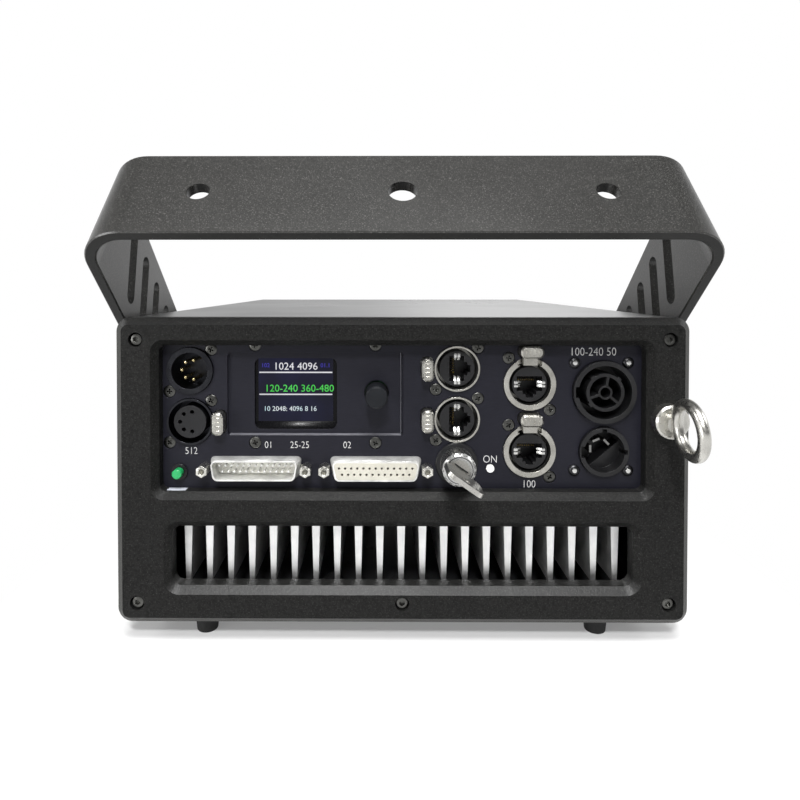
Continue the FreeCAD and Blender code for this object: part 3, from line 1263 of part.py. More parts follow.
def power_housing():
    """One moulding with the outlet above and the inlet below."""
    back = PANEL_BACK + FLANGE_T
    low = min(z for _, z in POWER_SCREWS) - POWER_FLANGE_OUT
    high = max(z for _, z in POWER_SCREWS) + POWER_FLANGE_OUT
    flange = slab(POWER_SCREW_X - POWER_FLANGE_HALF_W, POWER_SCREW_X + POWER_FLANGE_HALF_W, low, high,
                  POWER_FLANGE_R, PANEL_BACK, back)
    outlet_front = PANEL_Y - OUTLET_PROUD
    inlet_front = PANEL_Y - INLET_PROUD
    outlet_end = outlet_front + POWER_CAVITY
    inlet_end = inlet_front + POWER_CAVITY
    rear = PANEL_BACK + POWER_BACK_L
    bores = [rod_y(OUTLET_BORE_R, POWER_X, OUTLET_Z, outlet_front, outlet_end),
             rod_y(INLET_BORE_R, POWER_X, INLET_Z, inlet_front, inlet_end)]
    outlet = rod_y(OUTLET_R, POWER_X, OUTLET_Z, outlet_front, rear)
    inlet = rod_y(INLET_R, POWER_X, INLET_Z, inlet_front, rear)
    core = [tube_y(OUTLET_RING_R, OUTLET_RING_T, POWER_X, OUTLET_Z, outlet_front, outlet_end),
            tube_y(OUTLET_TUBE_R, OUTLET_TUBE_T, POWER_X, OUTLET_Z, outlet_front, outlet_end)]
    for i in range(OUTLET_SPOKE_COUNT):
        spoke = block(OUTLET_TUBE_R - OUTLET_TUBE_T / 2, OUTLET_RING_R - OUTLET_RING_T / 2,
                      outlet_front, outlet_end, -OUTLET_SPOKE_T / 2, OUTLET_SPOKE_T / 2)
        spoke.rotate(Vec(0, 0, 0), Vec(0, 1, 0), i * 360.0 / OUTLET_SPOKE_COUNT - OUTLET_SPOKE_TURN)
        core.append(spoke.translated(Vec(POWER_X, 0, OUTLET_Z)))
    for angle in OUTLET_LUG_TURNS:
        lug = block(OUTLET_RING_R - OUTLET_RING_T / 2, OUTLET_RING_R + OUTLET_LUG_OUT, outlet_front, outlet_end,
                    -OUTLET_LUG_W / 2, OUTLET_LUG_W / 2)
        lug.rotate(Vec(0, 0, 0), Vec(0, 1, 0), -angle)
        core.append(lug.translated(Vec(POWER_X, 0, OUTLET_Z)))
    half = block(-INLET_R, INLET_R, inlet_end - INLET_SHELF_L, inlet_end, -INLET_R, -INLET_SHELF_DROP)
    half.rotate(Vec(0, 0, 0), Vec(0, 1, 0), INLET_SHELF_TURN)
    shelf = rod_y(INLET_BORE_R, POWER_X, INLET_Z, inlet_end - INLET_SHELF_L, inlet_end)
    shelf = shelf.common(half.translated(Vec(POWER_X, 0, INLET_Z)))
    holes = [rod_y(PAN_SCREW_R + SHELL_GAP, x, z, PANEL_BACK, back) for x, z in POWER_SCREWS]
    keyways = [keyway(OUTLET_Z, OUTLET_BORE_R, KEYWAY_W, 180.0, outlet_front),
               keyway(INLET_Z, INLET_BORE_R, KEYWAY_W, 180.0, inlet_front),
               keyway(INLET_Z, INLET_BORE_R, KEYWAY_NARROW_W, 90.0, inlet_front),
               keyway(INLET_Z, INLET_BORE_R, KEYWAY_NARROW_W, 0.0, inlet_front)]
    body = fused([flange, outlet, inlet]).cut(holes + bores + keyways)
    return fused([body, shelf] + core)


def keyway(z, radius, width, turn, front):
    """Cutter for a groove in the wall of a mains connector's bore."""
    groove = block(radius - KEYWAY_OUT, radius + KEYWAY_OUT, front, front + KEYWAY_L, -width / 2, width / 2)
    groove.rotate(Vec(0, 0, 0), Vec(0, 1, 0), -turn)
    return groove.translated(Vec(POWER_X, 0, z))


def power_contacts():
    """Flat blades standing round the axis of the inlet."""
    end = PANEL_Y - INLET_PROUD + POWER_CAVITY
    blades = []
    for i in range(BLADE_COUNT):
        blade = block(BLADE_OUT - BLADE_T / 2, BLADE_OUT + BLADE_T / 2, end - BLADE_L, end,
                      -BLADE_W / 2, BLADE_W / 2)
        blade.rotate(Vec(0, 0, 0), Vec(0, 1, 0), -(BLADE_FIRST_TURN + i * BLADE_STEP_TURN))
        blades.append(blade.translated(Vec(POWER_X, 0, INLET_Z)))
    return Part.makeCompound(blades)


# Key switch, lamp and push button

def key_lock():
    """Lock body with a collar on the panel, a thread through it and its nut behind."""
    front_edge = LOCK_FRONT + LOCK_EDGE
    rear = PANEL_BACK + LOCK_BACK_L
    body = lathe([(0, LOCK_FRONT), (LOCK_R - LOCK_EDGE, LOCK_FRONT), (LOCK_R, front_edge),
                  (LOCK_R, PANEL_Y - LOCK_COLLAR_H), (LOCK_COLLAR_R, PANEL_Y - LOCK_COLLAR_H),
                  (LOCK_COLLAR_R, PANEL_Y), (LOCK_THREAD_R, PANEL_Y), (LOCK_THREAD_R, PANEL_BACK),
                  (LOCK_NUT_R, PANEL_BACK), (LOCK_NUT_R, PANEL_BACK + LOCK_NUT_T),
                  (LOCK_THREAD_R, PANEL_BACK + LOCK_NUT_T), (LOCK_THREAD_R, rear), (0, rear)], KEY_X, KEY_Z)
    cutters = [rod_y(BARREL_R + RUN_GAP, KEY_X, KEY_Z, LOCK_FRONT, rear - BARREL_FLOOR)]
    for u, w in ring(LOCK_NOTCH_COUNT, LOCK_R):
        cutters.append(rod_y(LOCK_NOTCH_R, KEY_X + u, KEY_Z + w, LOCK_FRONT, LOCK_FRONT + LOCK_NOTCH_L))
    return body.cut(cutters)


def key_barrel():
    end = PANEL_BACK + LOCK_BACK_L - BARREL_FLOOR
    slot_w = KEY_BLADE_W / 2 + KEY_SLOT_GAP
    slot_t = KEY_T / 2 + KEY_SLOT_GAP
    slot = block(-slot_w, slot_w, LOCK_FRONT, LOCK_FRONT + KEY_BLADE_L, -slot_t, slot_t)
    slot.rotate(Vec(0, 0, 0), Vec(0, 1, 0), KEY_TURN)
    return rod_y(BARREL_R, KEY_X, KEY_Z, LOCK_FRONT, end).cut(slot.translated(Vec(KEY_X, 0, KEY_Z)))


def key():
    """Flat key: blade in the barrel, neck, and a bow with a hole for a ring."""
    bow_low = LOCK_FRONT - KEY_NECK_L
    bow_end = bow_low - KEY_BOW_L
    half_t = KEY_T / 2
    blade = block(-KEY_BLADE_W / 2, KEY_BLADE_W / 2, bow_low - KEY_BOW_R, LOCK_FRONT + KEY_BLADE_L,
                  -half_t, half_t)
    corners = [Vec(-KEY_BOW_W / 2, bow_end, -half_t), Vec(KEY_BOW_W / 2, bow_end, -half_t),
               Vec(KEY_BOW_W / 2, bow_low, -half_t), Vec(-KEY_BOW_W / 2, bow_low, -half_t)]
    bow = Part.Face(rounded_wire(corners, KEY_BOW_R)).extrude(Vec(0, 0, KEY_T))
    eye = rod_z(KEY_EYE_R, 0.0, bow_end + KEY_BOW_R + KEY_EYE_R / 2, -half_t, half_t)
    whole = fused([blade, bow]).cut(eye)
    whole.rotate(Vec(0, 0, 0), Vec(0, 1, 0), KEY_TURN)
    return whole.translated(Vec(KEY_X, 0, KEY_Z))


def on_lamp():
    """Indicator lamp, pushed through the panel from behind up to its rim."""
    lens = rod_y(LAMP_R, LAMP_X, LAMP_Z, PANEL_Y - LAMP_PROUD, PANEL_BACK + LAMP_L)
    return fused([lens, rod_y(LAMP_RIM_R, LAMP_X, LAMP_Z, PANEL_BACK, PANEL_BACK + LAMP_RIM_T)])


def button_bushing():
    rear = PANEL_BACK + BUSH_BACK_L
    collar = rod_y(BUSH_R, BUTTON_X, BUTTON_Z, PANEL_Y - BUSH_PROUD, PANEL_Y)
    stem = rod_y(BUSH_STEM_R, BUTTON_X, BUTTON_Z, PANEL_Y, rear)
    guide = rod_y(BUTTON_R + RUN_GAP, BUTTON_X, BUTTON_Z, PANEL_Y - BUSH_PROUD, rear - BUSH_FLOOR)
    room = rod_y(BUTTON_STOP_R + RUN_GAP, BUTTON_X, BUTTON_Z, PANEL_BACK, rear - BUSH_FLOOR)
    return fused([collar, stem]).cut([guide, room])


def push_button():
    """Round cap on a plunger whose flange stops it behind the panel."""
    end = PANEL_BACK + BUSH_BACK_L - BUSH_FLOOR - BUTTON_TRAVEL - MOVE_GAP
    plunger = rod_y(BUTTON_R, BUTTON_X, BUTTON_Z, PANEL_Y - BUTTON_PROUD, end)
    plunger = plunger.makeChamfer(MOVE_GAP, edges_at(plunger, "Y", PANEL_Y - BUTTON_PROUD))
    stop = rod_y(BUTTON_STOP_R, BUTTON_X, BUTTON_Z, PANEL_BACK, PANEL_BACK + BUTTON_STOP_T)
    return fused([plunger, stop])


# Display and encoder

def display_board():
    """Board behind the panel, spaced off it by posts at the four screws."""
    xs = [x for x, _ in BOARD_SCREWS]
    zs = [z for _, z in BOARD_SCREWS]
    board = block(min(xs) - BOARD_MARGIN, max(xs) + BOARD_MARGIN, BOARD_Y, BOARD_Y + BOARD_T,
                  min(zs) - BOARD_EDGE, max(zs) + BOARD_EDGE)
    posts = [rod_y(STANDOFF_R, x, z, PANEL_BACK, BOARD_Y) for x, z in BOARD_SCREWS]
    holes = [rod_y(PAN_SCREW_R + SHELL_GAP, x, z, PANEL_BACK, BOARD_Y + BOARD_T) for x, z in BOARD_SCREWS]
    hole = rod_y(DIAL_SHAFT_R + MOVE_GAP, DIAL_X, DIAL_Z, BOARD_Y, BOARD_Y + BOARD_T)
    return fused([board] + posts).cut(holes + [hole])


def lcd_panel():
    return slab(SCREEN_LEFT - LCD_MARGIN, SCREEN_RIGHT + LCD_MARGIN, SCREEN_LOW - LCD_MARGIN,
                SCREEN_HIGH + LCD_MARGIN, SMALL_R, PANEL_BACK, BOARD_Y)


def encoder_body():
    """Switch box on the back of the board, hollow for the plunger."""
    front = BOARD_Y + BOARD_T
    rear = front + ENCODER_L
    box = slab(DIAL_X - ENCODER_HALF_W, DIAL_X + ENCODER_HALF_W, DIAL_Z - ENCODER_HALF_W,
               DIAL_Z + ENCODER_HALF_W, SMALL_R, front, rear)
    room = rod_y(PLUNGER_R + MOVE_GAP, DIAL_X, DIAL_Z, front, rear - ENCODER_FLOOR)
    return box.cut(room)


def plunger_front():
    """Depth of the plunger face that the dial shaft stands on."""
    rear = BOARD_Y + BOARD_T + ENCODER_L
    return rear - ENCODER_FLOOR - DIAL_TRAVEL - MOVE_GAP - PLUNGER_T


def encoder_plunger():
    front = plunger_front()
    disc = rod_y(PLUNGER_R, DIAL_X, DIAL_Z, front, front + PLUNGER_T)
    pin = rod_y(PLUNGER_PIN_R, DIAL_X, DIAL_Z, front - PLUNGER_T, front)
    return fused([disc, pin])


def encoder_knob():
    """Plain round knob on its shaft, turning on the plunger pin."""
    front = PANEL_Y - DIAL_PROUD
    cap = rod_y(DIAL_R, DIAL_X, DIAL_Z, front, DISPLAY_FLOOR)
    cap = cap.makeChamfer(DIAL_EDGE, edges_at(cap, "Y", front))
    end = plunger_front()
    shaft = rod_y(DIAL_SHAFT_R, DIAL_X, DIAL_Z, DISPLAY_FLOOR, end)
    bore = rod_y(PLUNGER_PIN_R + RUN_GAP, DIAL_X, DIAL_Z, end - PLUNGER_T - MOVE_GAP, end)
    return fused([cap, shaft]).cut(bore)


# Beam window

def aperture_glass():
    half_w, half_h = APERTURE_HALF_W + GLASS_LAP, APERTURE_HALF_H + GLASS_LAP
    return slab(BEAM_X - half_w, BEAM_X + half_w, BEAM_Z - half_h, BEAM_Z + half_h, APERTURE_R,
                FRONT_Y - GLASS_T, FRONT_Y)


def aperture_mask():
    """Plate in the pocket that slides up over the lower edge of the beam window."""
    plate = slab(BEAM_X - MASK_HALF_W, BEAM_X + MASK_HALF_W, MASK_LOW, MASK_HIGH, MASK_R,
                 POCKET_Y, POCKET_Y + MASK_T)
    slots = []
    half = THUMB_STEM_R + MASK_SLOT_GAP
    for side in (-1, 1):
        x = BEAM_X + side * MASK_SLOT_X
        slots.append(slab(x - half, x + half, THUMB_Z - MASK_TRAVEL - half, THUMB_Z + half,
                          half - TINY, POCKET_Y, POCKET_Y + MASK_T))
    return plate.cut(slots)


def mask_screws():
    """Fluted thumb screws that clamp the mask."""
    screws = []
    seat = POCKET_Y + MASK_T
    for side in (-1, 1):
        x = BEAM_X + side * MASK_SLOT_X
        head = rod_y(THUMB_R, x, THUMB_Z, seat, seat + THUMB_H)
        flutes = [rod_y(THUMB_GROOVE_R, x + u, THUMB_Z + w, seat, seat + THUMB_H)
                  for u, w in ring(THUMB_GROOVE_COUNT, THUMB_R)]
        stem = rod_y(THUMB_STEM_R, x, THUMB_Z, FRONT_Y, seat)
        screws.append(fused([head.cut(flutes), stem]))
    return Part.makeCompound(screws)


# Fans

def fan_frames():
    """Square fan housings on the floor plate, hub held by spokes below the blades."""
    frames = []
    half = FAN_SIZE / 2
    low, high = BOTTOM_TOP, BOTTOM_TOP + FAN_T
    for x, y in FANS:
        corners = [Vec(x + i * half, y + k * half, low) for i, k in ((-1, -1), (1, -1), (1, 1), (-1, 1))]
        shell_box = Part.Face(rounded_wire(corners, FAN_CORNER_R)).extrude(Vec(0, 0, FAN_T))
        shell_box = shell_box.cut(rod_z(FAN_BORE_R, x, y, low, high))
        hub = rod_z(FAN_HUB_R, x, y, low, low + FAN_HUB_T)
        spokes = []
        for i in range(FAN_SPOKE_COUNT):
            spoke = block(FAN_HUB_R - FAN_SPOKE_T, FAN_BORE_R + FAN_SPOKE_T / 2, -FAN_SPOKE_T / 2,
                          FAN_SPOKE_T / 2, low, low + FAN_HUB_T)
            spoke.rotate(Vec(0, 0, 0), Vec(0, 0, 1), FAN_SPOKE_TURN + i * 360.0 / FAN_SPOKE_COUNT)
            spokes.append(spoke.translated(Vec(x, y, 0)))
        frame = fused([shell_box, hub] + spokes)
        frames.append(frame.cut(rod_z(FAN_PIN_R + RUN_GAP, x, y, low, low + FAN_HUB_T)))
    return Part.makeCompound(frames)


def fan_rotor(x, y):
    """Hub with pitched blades, running on a pin in the frame's hub."""
    low = BOTTOM_TOP + FAN_HUB_T + MOVE_GAP
    high = BOTTOM_TOP + FAN_T - MOVE_GAP
    tip = FAN_BORE_R - FAN_TIP_GAP
    hub = rod_z(FAN_HUB_R, 0.0, 0.0, low, high)
    pin = rod_z(FAN_PIN_R, 0.0, 0.0, low - FAN_HUB_T, low)
    sweep = rod_z(tip, 0.0, 0.0, low, high).cut(rod_z(FAN_HUB_R - FAN_BLADE_T, 0.0, 0.0, low, high))
    middle = (low + high) / 2
    blades = []
    for i in range(FAN_BLADE_COUNT):
        blade = block(0.0, FAN_BORE_R, -FAN_T, FAN_T, -FAN_BLADE_T / 2, FAN_BLADE_T / 2)
        blade.rotate(Vec(0, 0, 0), Vec(1, 0, 0), FAN_BLADE_TURN)
        blade.rotate(Vec(0, 0, 0), Vec(0, 0, 1), i * 360.0 / FAN_BLADE_COUNT)
        blades.append(blade.translated(Vec(0, 0, middle)).common(sweep))
    return fused([hub, pin] + blades).translated(Vec(x, y, 0))


# Optics on the heat sink

def laser_modules():
    """One module per colour, each on a foot with a beam port at the front."""
    modules = []
    for x in LASER_XS:
        body = block(x - LASER_W / 2, x + LASER_W / 2, LASER_Y, LASER_Y + LASER_L, SINK_TOP, SINK_TOP + LASER_H)
        rims = edges_at(body, "Z", SINK_TOP + LASER_H)
        body = body.makeChamfer(LASER_EDGE, rims)
        port = rod_y(LASER_PORT_R, x, LASER_BEAM_Z, LASER_Y + LASER_L, LASER_Y + LASER_L + LASER_PORT_L)
        modules.append(fused([body, port]))
    return Part.makeCompound(modules)


def beam_mirrors():
    """Mirrors that fold the three beams into one line towards the scanner."""
    mounts = []
    for x in LASER_XS:
        half = MOUNT_BASE / 2
        base = block(-half, half, -half, half, 0.0, MOUNT_BASE_T)
        plate = block(-MIRROR_W / 2, MIRROR_W / 2, 0.0, MIRROR_T, MOUNT_BASE_T, MIRROR_H)
        plate.rotate(Vec(0, 0, 0), Vec(0, 0, 1), FOLD_TURN)
        mounts.append(base.fuse(plate).translated(Vec(x, BEAM_LINE_Y, SINK_TOP)))
    return Part.makeCompound(mounts)


def galvo_axes():
    """Start of each scan motor: first along Y at beam height, second along X one step higher."""
    return BEAM_LINE_Y - GALVO_STANDOFF, BEAM_X + GALVO_STANDOFF, LASER_BEAM_Z + GALVO_STEP


def galvo_block():
    first_y, second_x, second_z = galvo_axes()
    half = GALVO_R + GALVO_WALL
    first = block(BEAM_X - half, BEAM_X + half, first_y - GALVO_GRIP, first_y, SINK_TOP, LASER_BEAM_Z + half)
    second = block(second_x, second_x + GALVO_GRIP, BEAM_LINE_Y - half, BEAM_LINE_Y + half, SINK_TOP,
                   second_z + half)
    bores = [rod_y(GALVO_R + RUN_GAP, BEAM_X, LASER_BEAM_Z, first_y - GALVO_GRIP, first_y),
             rod_x(GALVO_R + RUN_GAP, BEAM_LINE_Y, second_z, second_x, second_x + GALVO_GRIP)]
    return fused([first, second]).cut(bores)


def galvo_motors():
    first_y, second_x, second_z = galvo_axes()
    seat = SCAN_SHAFT_SEAT
    first = rod_y(GALVO_R, BEAM_X, LASER_BEAM_Z, first_y - GALVO_L, first_y)
    first = first.cut(rod_y(SCAN_SHAFT_R + RUN_GAP, BEAM_X, LASER_BEAM_Z, first_y - seat, first_y))
    second = rod_x(GALVO_R, BEAM_LINE_Y, second_z, second_x, second_x + GALVO_L)
    second = second.cut(rod_x(SCAN_SHAFT_R + RUN_GAP, BEAM_LINE_Y, second_z, second_x, second_x + seat))
    return Part.makeCompound([first, second])


def scan_mirror_x():
    """First mirror: turns the beam up, on a shaft along Y."""
    first_y, _, _ = galvo_axes()
    half = SCAN_X_W / 2
    plate = block(-SCAN_MIRROR_H / 2, SCAN_MIRROR_H / 2, BEAM_LINE_Y - half, BEAM_LINE_Y + half,
                  -SCAN_MIRROR_T / 2, SCAN_MIRROR_T / 2)
    plate.rotate(Vec(0, 0, 0), Vec(0, 1, 0), -FOLD_TURN)
    shaft = rod_y(SCAN_SHAFT_R, BEAM_X, LASER_BEAM_Z, first_y - SCAN_SHAFT_SEAT, BEAM_LINE_Y - half)
    return fused([plate.translated(Vec(BEAM_X, 0, LASER_BEAM_Z)), shaft])


def scan_mirror_y():
    """Second mirror: sends the beam out of the window, on a shaft along X."""
    _, second_x, second_z = galvo_axes()
    half = SCAN_Y_W / 2
    plate = block(-half, half, -SCAN_MIRROR_H / 2, SCAN_MIRROR_H / 2, -SCAN_MIRROR_T / 2, SCAN_MIRROR_T / 2)
    plate.rotate(Vec(0, 0, 0), Vec(1, 0, 0), FOLD_TURN)
    shaft = rod_x(SCAN_SHAFT_R, BEAM_LINE_Y, second_z, BEAM_X + half, second_x + SCAN_SHAFT_SEAT)
    return fused([plate.translated(Vec(BEAM_X, BEAM_LINE_Y, second_z)), shaft])


# Electronics on the heat sink

def power_supply():
    return slab(SUPPLY_X, SUPPLY_X + SUPPLY_W, SINK_TOP, SINK_TOP + SUPPLY_H, SUPPLY_R,
                SUPPLY_Y, SUPPLY_Y + SUPPLY_L)


def circuit_board(x, w, y, length):
    """Board on corner posts with a row of taller components."""
    low = SINK_TOP + PCB_LIFT
    board = block(x, x + w, y, y + length, low, low + BOARD_T)
    posts = [rod_z(PCB_STANDOFF_R, px, py, SINK_TOP, low)
             for px in (x + PCB_INSET, x + w - PCB_INSET) for py in (y + PCB_INSET, y + length - PCB_INSET)]
    chips = []
    for i in range(CHIP_COUNT):
        middle = x + w * (i + 1) / (CHIP_COUNT + 1)
        chips.append(block(middle - CHIP_W / 2, middle + CHIP_W / 2, y + (length - CHIP_L) / 2,
                           y + (length + CHIP_L) / 2, low + BOARD_T, low + BOARD_T + CHIP_H))
    return fused([board] + posts + chips)


def scanner_driver():
    return circuit_board(SUPPLY_X, SUPPLY_W, DRIVER_Y, DRIVER_L)


def control_board():
    return circuit_board(CONTROL_X, CONTROL_W, CONTROL_Y, CONTROL_L)


PIECES = {
    "rear_bezel": rear_bezel,
    "connector_panel": connector_panel,
    "top_cover": top_cover,
    "bottom_plate": bottom_plate,
    "front_plate": front_plate,
    "heat_sink": heat_sink,
    "rubber_feet": rubber_feet,
    "housing_screws": housing_screws,
    "panel_screws": panel_screws,
    "power_screws": power_screws,
    "yoke": yoke,
    "pivot_bosses": pivot_bosses,
    "pivot_washers": pivot_washers,
    "clamp_knob_left": lambda: clamp_knob(-1),
    "clamp_knob_right": lambda: clamp_knob(1),
    "safety_eye": safety_eye,
    "xlr_plug_shell": xlr_plug_shell,
    "xlr_socket_shell": xlr_socket_shell,
    "xlr_socket_insert": xlr_socket_insert,
    "contact_pins": contact_pins,
    "network_shells": network_shells,
    "network_inserts": network_inserts,
    "signal_plug_shell": signal_plug_shell,
    "signal_plug_insulator": signal_plug_insulator,
    "signal_socket_shell": signal_socket_shell,
    "signal_socket_insulator": signal_socket_insulator,
    "jack_posts": jack_posts,
    "power_housing": power_housing,
    "power_contacts": power_contacts,
    "key_lock": key_lock,
    "key_barrel": key_barrel,
    "key": key,
    "on_lamp": on_lamp,
    "button_bushing": button_bushing,
    "push_button": push_button,
    "display_board": display_board,
    "lcd_panel": lcd_panel,
    "encoder_body": encoder_body,
    "encoder_plunger": encoder_plunger,
    "encoder_knob": encoder_knob,
    "aperture_glass": aperture_glass,
    "aperture_mask": aperture_mask,
    "mask_screws": mask_screws,
    "fan_frames": fan_frames,
    "fan_rotor_left": lambda: fan_rotor(*FANS[0]),
    "fan_rotor_right": lambda: fan_rotor(*FANS[1]),
    "laser_modules": laser_modules,
    "beam_mirrors": beam_mirrors,
    "galvo_block": galvo_block,
    "galvo_motors": galvo_motors,
    "scan_mirror_x": scan_mirror_x,
    "scan_mirror_y": scan_mirror_y,
    "power_supply": power_supply,
    "scanner_driver": scanner_driver,
    "control_board": control_board,
}
for latch_name in latch_places():
    PIECES[latch_name] = lambda name=latch_name: latch(name)

os.makedirs("parts", exist_ok=True)
for piece_name, make in PIECES.items():
    make().translated(Vec(0, SHIFT_Y, 0)).exportStep("parts/%s.step" % piece_name)
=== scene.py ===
import bpy
import json
import math
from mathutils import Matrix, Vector


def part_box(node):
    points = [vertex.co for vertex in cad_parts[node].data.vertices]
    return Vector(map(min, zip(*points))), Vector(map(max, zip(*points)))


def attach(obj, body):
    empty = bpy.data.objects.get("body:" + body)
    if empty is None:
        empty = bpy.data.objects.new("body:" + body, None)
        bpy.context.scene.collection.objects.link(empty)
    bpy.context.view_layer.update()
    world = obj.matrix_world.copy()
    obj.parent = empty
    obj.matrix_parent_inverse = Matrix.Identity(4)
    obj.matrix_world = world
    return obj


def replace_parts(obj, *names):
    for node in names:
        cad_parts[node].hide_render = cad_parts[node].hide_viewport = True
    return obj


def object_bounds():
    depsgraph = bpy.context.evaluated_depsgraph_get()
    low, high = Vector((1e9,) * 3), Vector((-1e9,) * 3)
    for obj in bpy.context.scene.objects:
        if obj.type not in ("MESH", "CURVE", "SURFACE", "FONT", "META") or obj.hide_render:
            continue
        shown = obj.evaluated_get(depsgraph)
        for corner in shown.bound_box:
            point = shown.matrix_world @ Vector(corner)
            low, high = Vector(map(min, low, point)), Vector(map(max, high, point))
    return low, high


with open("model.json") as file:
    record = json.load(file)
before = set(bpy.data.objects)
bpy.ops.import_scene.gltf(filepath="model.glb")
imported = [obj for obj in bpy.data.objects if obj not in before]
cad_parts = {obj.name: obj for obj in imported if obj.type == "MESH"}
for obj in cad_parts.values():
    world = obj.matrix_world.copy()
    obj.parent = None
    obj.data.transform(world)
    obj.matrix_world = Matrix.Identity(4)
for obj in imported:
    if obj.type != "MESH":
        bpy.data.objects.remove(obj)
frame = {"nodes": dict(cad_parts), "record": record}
cad_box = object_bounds()
nodes = frame["nodes"]

MM = 0.001
WELD = 1e-6
QUARTER = math.pi / 2
SMOOTH_ANGLE = 32.0
FLAT = 0.9
NEAR = 0.1
FACE_DEEP = 0.02
CUT_PAST = 1.0

# Camera, as fitted to the photograph
PHOTO_PX = 800.0
FOCAL_PX = 613.55
CENTRE_PX = (374.5, 294.7)
SENSOR_MM = 36.0
CAMERA_MM = (-10.6, -415.6, 163.5)
CAMERA_PITCH = 1.01
CAMERA_YAW = 0.38

# Studio
FLOOR_SIZE = 12.0
FLOOR_WHITE = 0.80
FLOOR_GLOW_NEAR = 0.22
FLOOR_FADE = 0.075
WORLD_LIGHT = 0.14
ROOM_LIGHT = 0.18
WALL_BEHIND = (-0.35, 0.25)
WALL_HEIGHT = (0.20, 0.55)

# Lamps: name, place, aim, size and watts
SOFTBOXES = (
    ("top_softbox", (0.0, -0.76, 1.35), (0.0, -0.13, 0.1), (0.7, 0.45), 20.0),
    ("key_softbox", (-0.06, -1.10, 0.98), (0.0, -0.14, 0.1), (0.16, 0.14), 14.0),
    ("side_softbox", (-0.75, -0.70, 0.10), (-0.12, -0.14, 0.03), (0.4, 0.3), 3.5),
    ("far_softbox", (0.35, 1.25, 1.0), (0.0, 0.1, 0.08), (0.6, 0.5), 9.0),
    ("rim_softbox", (-1.2, -0.25, 0.80), (-0.13, -0.12, 0.19), (0.5, 0.4), 5.0),
    ("rim_softbox", (1.2, -0.25, 0.80), (0.13, -0.12, 0.19), (0.5, 0.4), 5.0),
)

# Bezel: painted reflection, a lighter and partly metallic colour on the chamfer round its outside, picked by
# its width and its normal, and the gloss of sides and tops
CHAMFER_BAND = 3.4
CHAMFER_FACING = (0.30, 0.94)
CHAMFER_UPWARD = 0.35
CHAMFER_SHEEN_METALLIC = 0.75
BEZEL_SHINE = (0.10, 0.34)

# Yoke: painted shade on the edges of its strip, picked by their normal, and the gloss of face and edge
SHADED_EDGE_NORMAL = (0.667, 0.745)
SHADED_EDGE_FROM = (0.90, 0.97)
YOKE_SHINE = (0.6, 0.22)

# Rounding of the edges of small pieces
ROUNDING = {"leaf": 0.08, "wire": 0.06, "skirt": 0.25, "socket_lip": 0.06, "ridge": 0.07, "rule": 0.02,
            "sill": 0.1, "display_lip": 0.08, "upright": 0.05, "keyway": 0.03, "label": 0.04}

# Screws and rivets: heads by axis, crowns as shares of the radius with their depth
EDGE_SHARE = 0.3
CAP_ROUND = 0.45
CAP_SOCKET_R = 1.35
CAP_SOCKET_DEEP = 1.4
CAP_SOCKET_SHARE = 0.7
CAP_SHANK_R = 1.45
CAP_HEADS = {0: 1.8, 1: 2.8, 2: 1.5}
CROSS_HEAD = 0.9
CROSS_ROUND = 0.25
CROSS_SHANK_R = 1.3
CROSS_WIDTH = 0.85
CROSS_REACH = 1.65
CROSS_DEEP = 1.5
CROSS_FLAT = 0.6
CROSS_TAPER = 0.55
CROSS_TURN = 0.37
RIVET_HEAD = 1.3
RIVET_RIM = 0.9
RIVET_CROWN = ((0.86, 0.35), (0.68, 0.08))
RIVET_LIP = 0.12
RIVET_HOLE = (0.25, 0.6)
RIVET_SHANK_R = 1.3
RIVET_PIN_R = 1.25
RIVET_PIN_PLAY = 0.06
RIVET_PIN_ENDS = (0.58, 0.3)
RIVET_PIN_CROWN = ((0.82, 0.15), (0.4, 0.06))

# Tips of the round plug's pins: root, then shares of the radius with their reach
TIP_ROOT = 0.1
TIP_CROWN = ((0.92, 0.35), (0.66, 0.68), (0.25, 0.86))

# Network sockets: the pattern with a side latch lies left of the split
PATTERN_SPLIT = 40.0
LINER_T = 0.25
LINER_GAP = 1.5
LINER_SINK = 1.4
LINER_L = 9.0
LINER_NOTCH = (12.0, 2.4)
LEAF_W = 1.25
LEAF_T = 0.25
LEAF_GAP = 0.35
LEAF_REACH = (5.5, 7.2)
LEAF_BEND = (0.0, 1.6, -1.9)
WIRE_COUNT = 8
WIRE_PITCH = 1.02
WIRE_T = 0.45
WIRE_L = 5.0
WIRE_SINK = 7.0
WIRE_OFF = 2.3
WIRE_DIP = 1.2
WIRE_HOOK = (0.0, 0.8, 0.7)

# Key lock: dark washer over its collar, dark ring round its barrel, and a dark strip that is painted shade
# in its keyway
WASHER_R = (7.62, 9.7)
WASHER_T = 1.2
WASHER_EDGE = 0.3
SEAM_R = (5.72, 6.08)
SEAM_T = 0.06
SEAM_EDGE = 0.1
SEAM_SINK = 0.1
KEYWAY_SINK = 0.05
KEYWAY_L = 7.6
KEYWAY_W = 0.55
KEYWAY_OFF = 1.05
KEYWAY_TURN = 35.0

# Signal connectors: tapered skirt of each shell, and the height below which contacts are tinned
SKIRT_GROW = (1.8, 0.7)
SKIRT_BACK = 0.5
SKIRT_LEAN = 10.0
SKIRT_CORNER = 2.4
SKIRT_PLAY = 0.03
MOUTH_W = 1.15
MOUTH_T = 0.12
TINNED_BELOW = 90.0

# Jack posts: turned lip round the hole
POST_LIP_R = (1.42, 2.36)
POST_LIP_H = 0.3
POST_LIP_SINK = 0.4
POST_LIP_EDGE = 0.15
POST_LIP_SLOPE = 0.55
POST_LIP_SHARE = 0.6

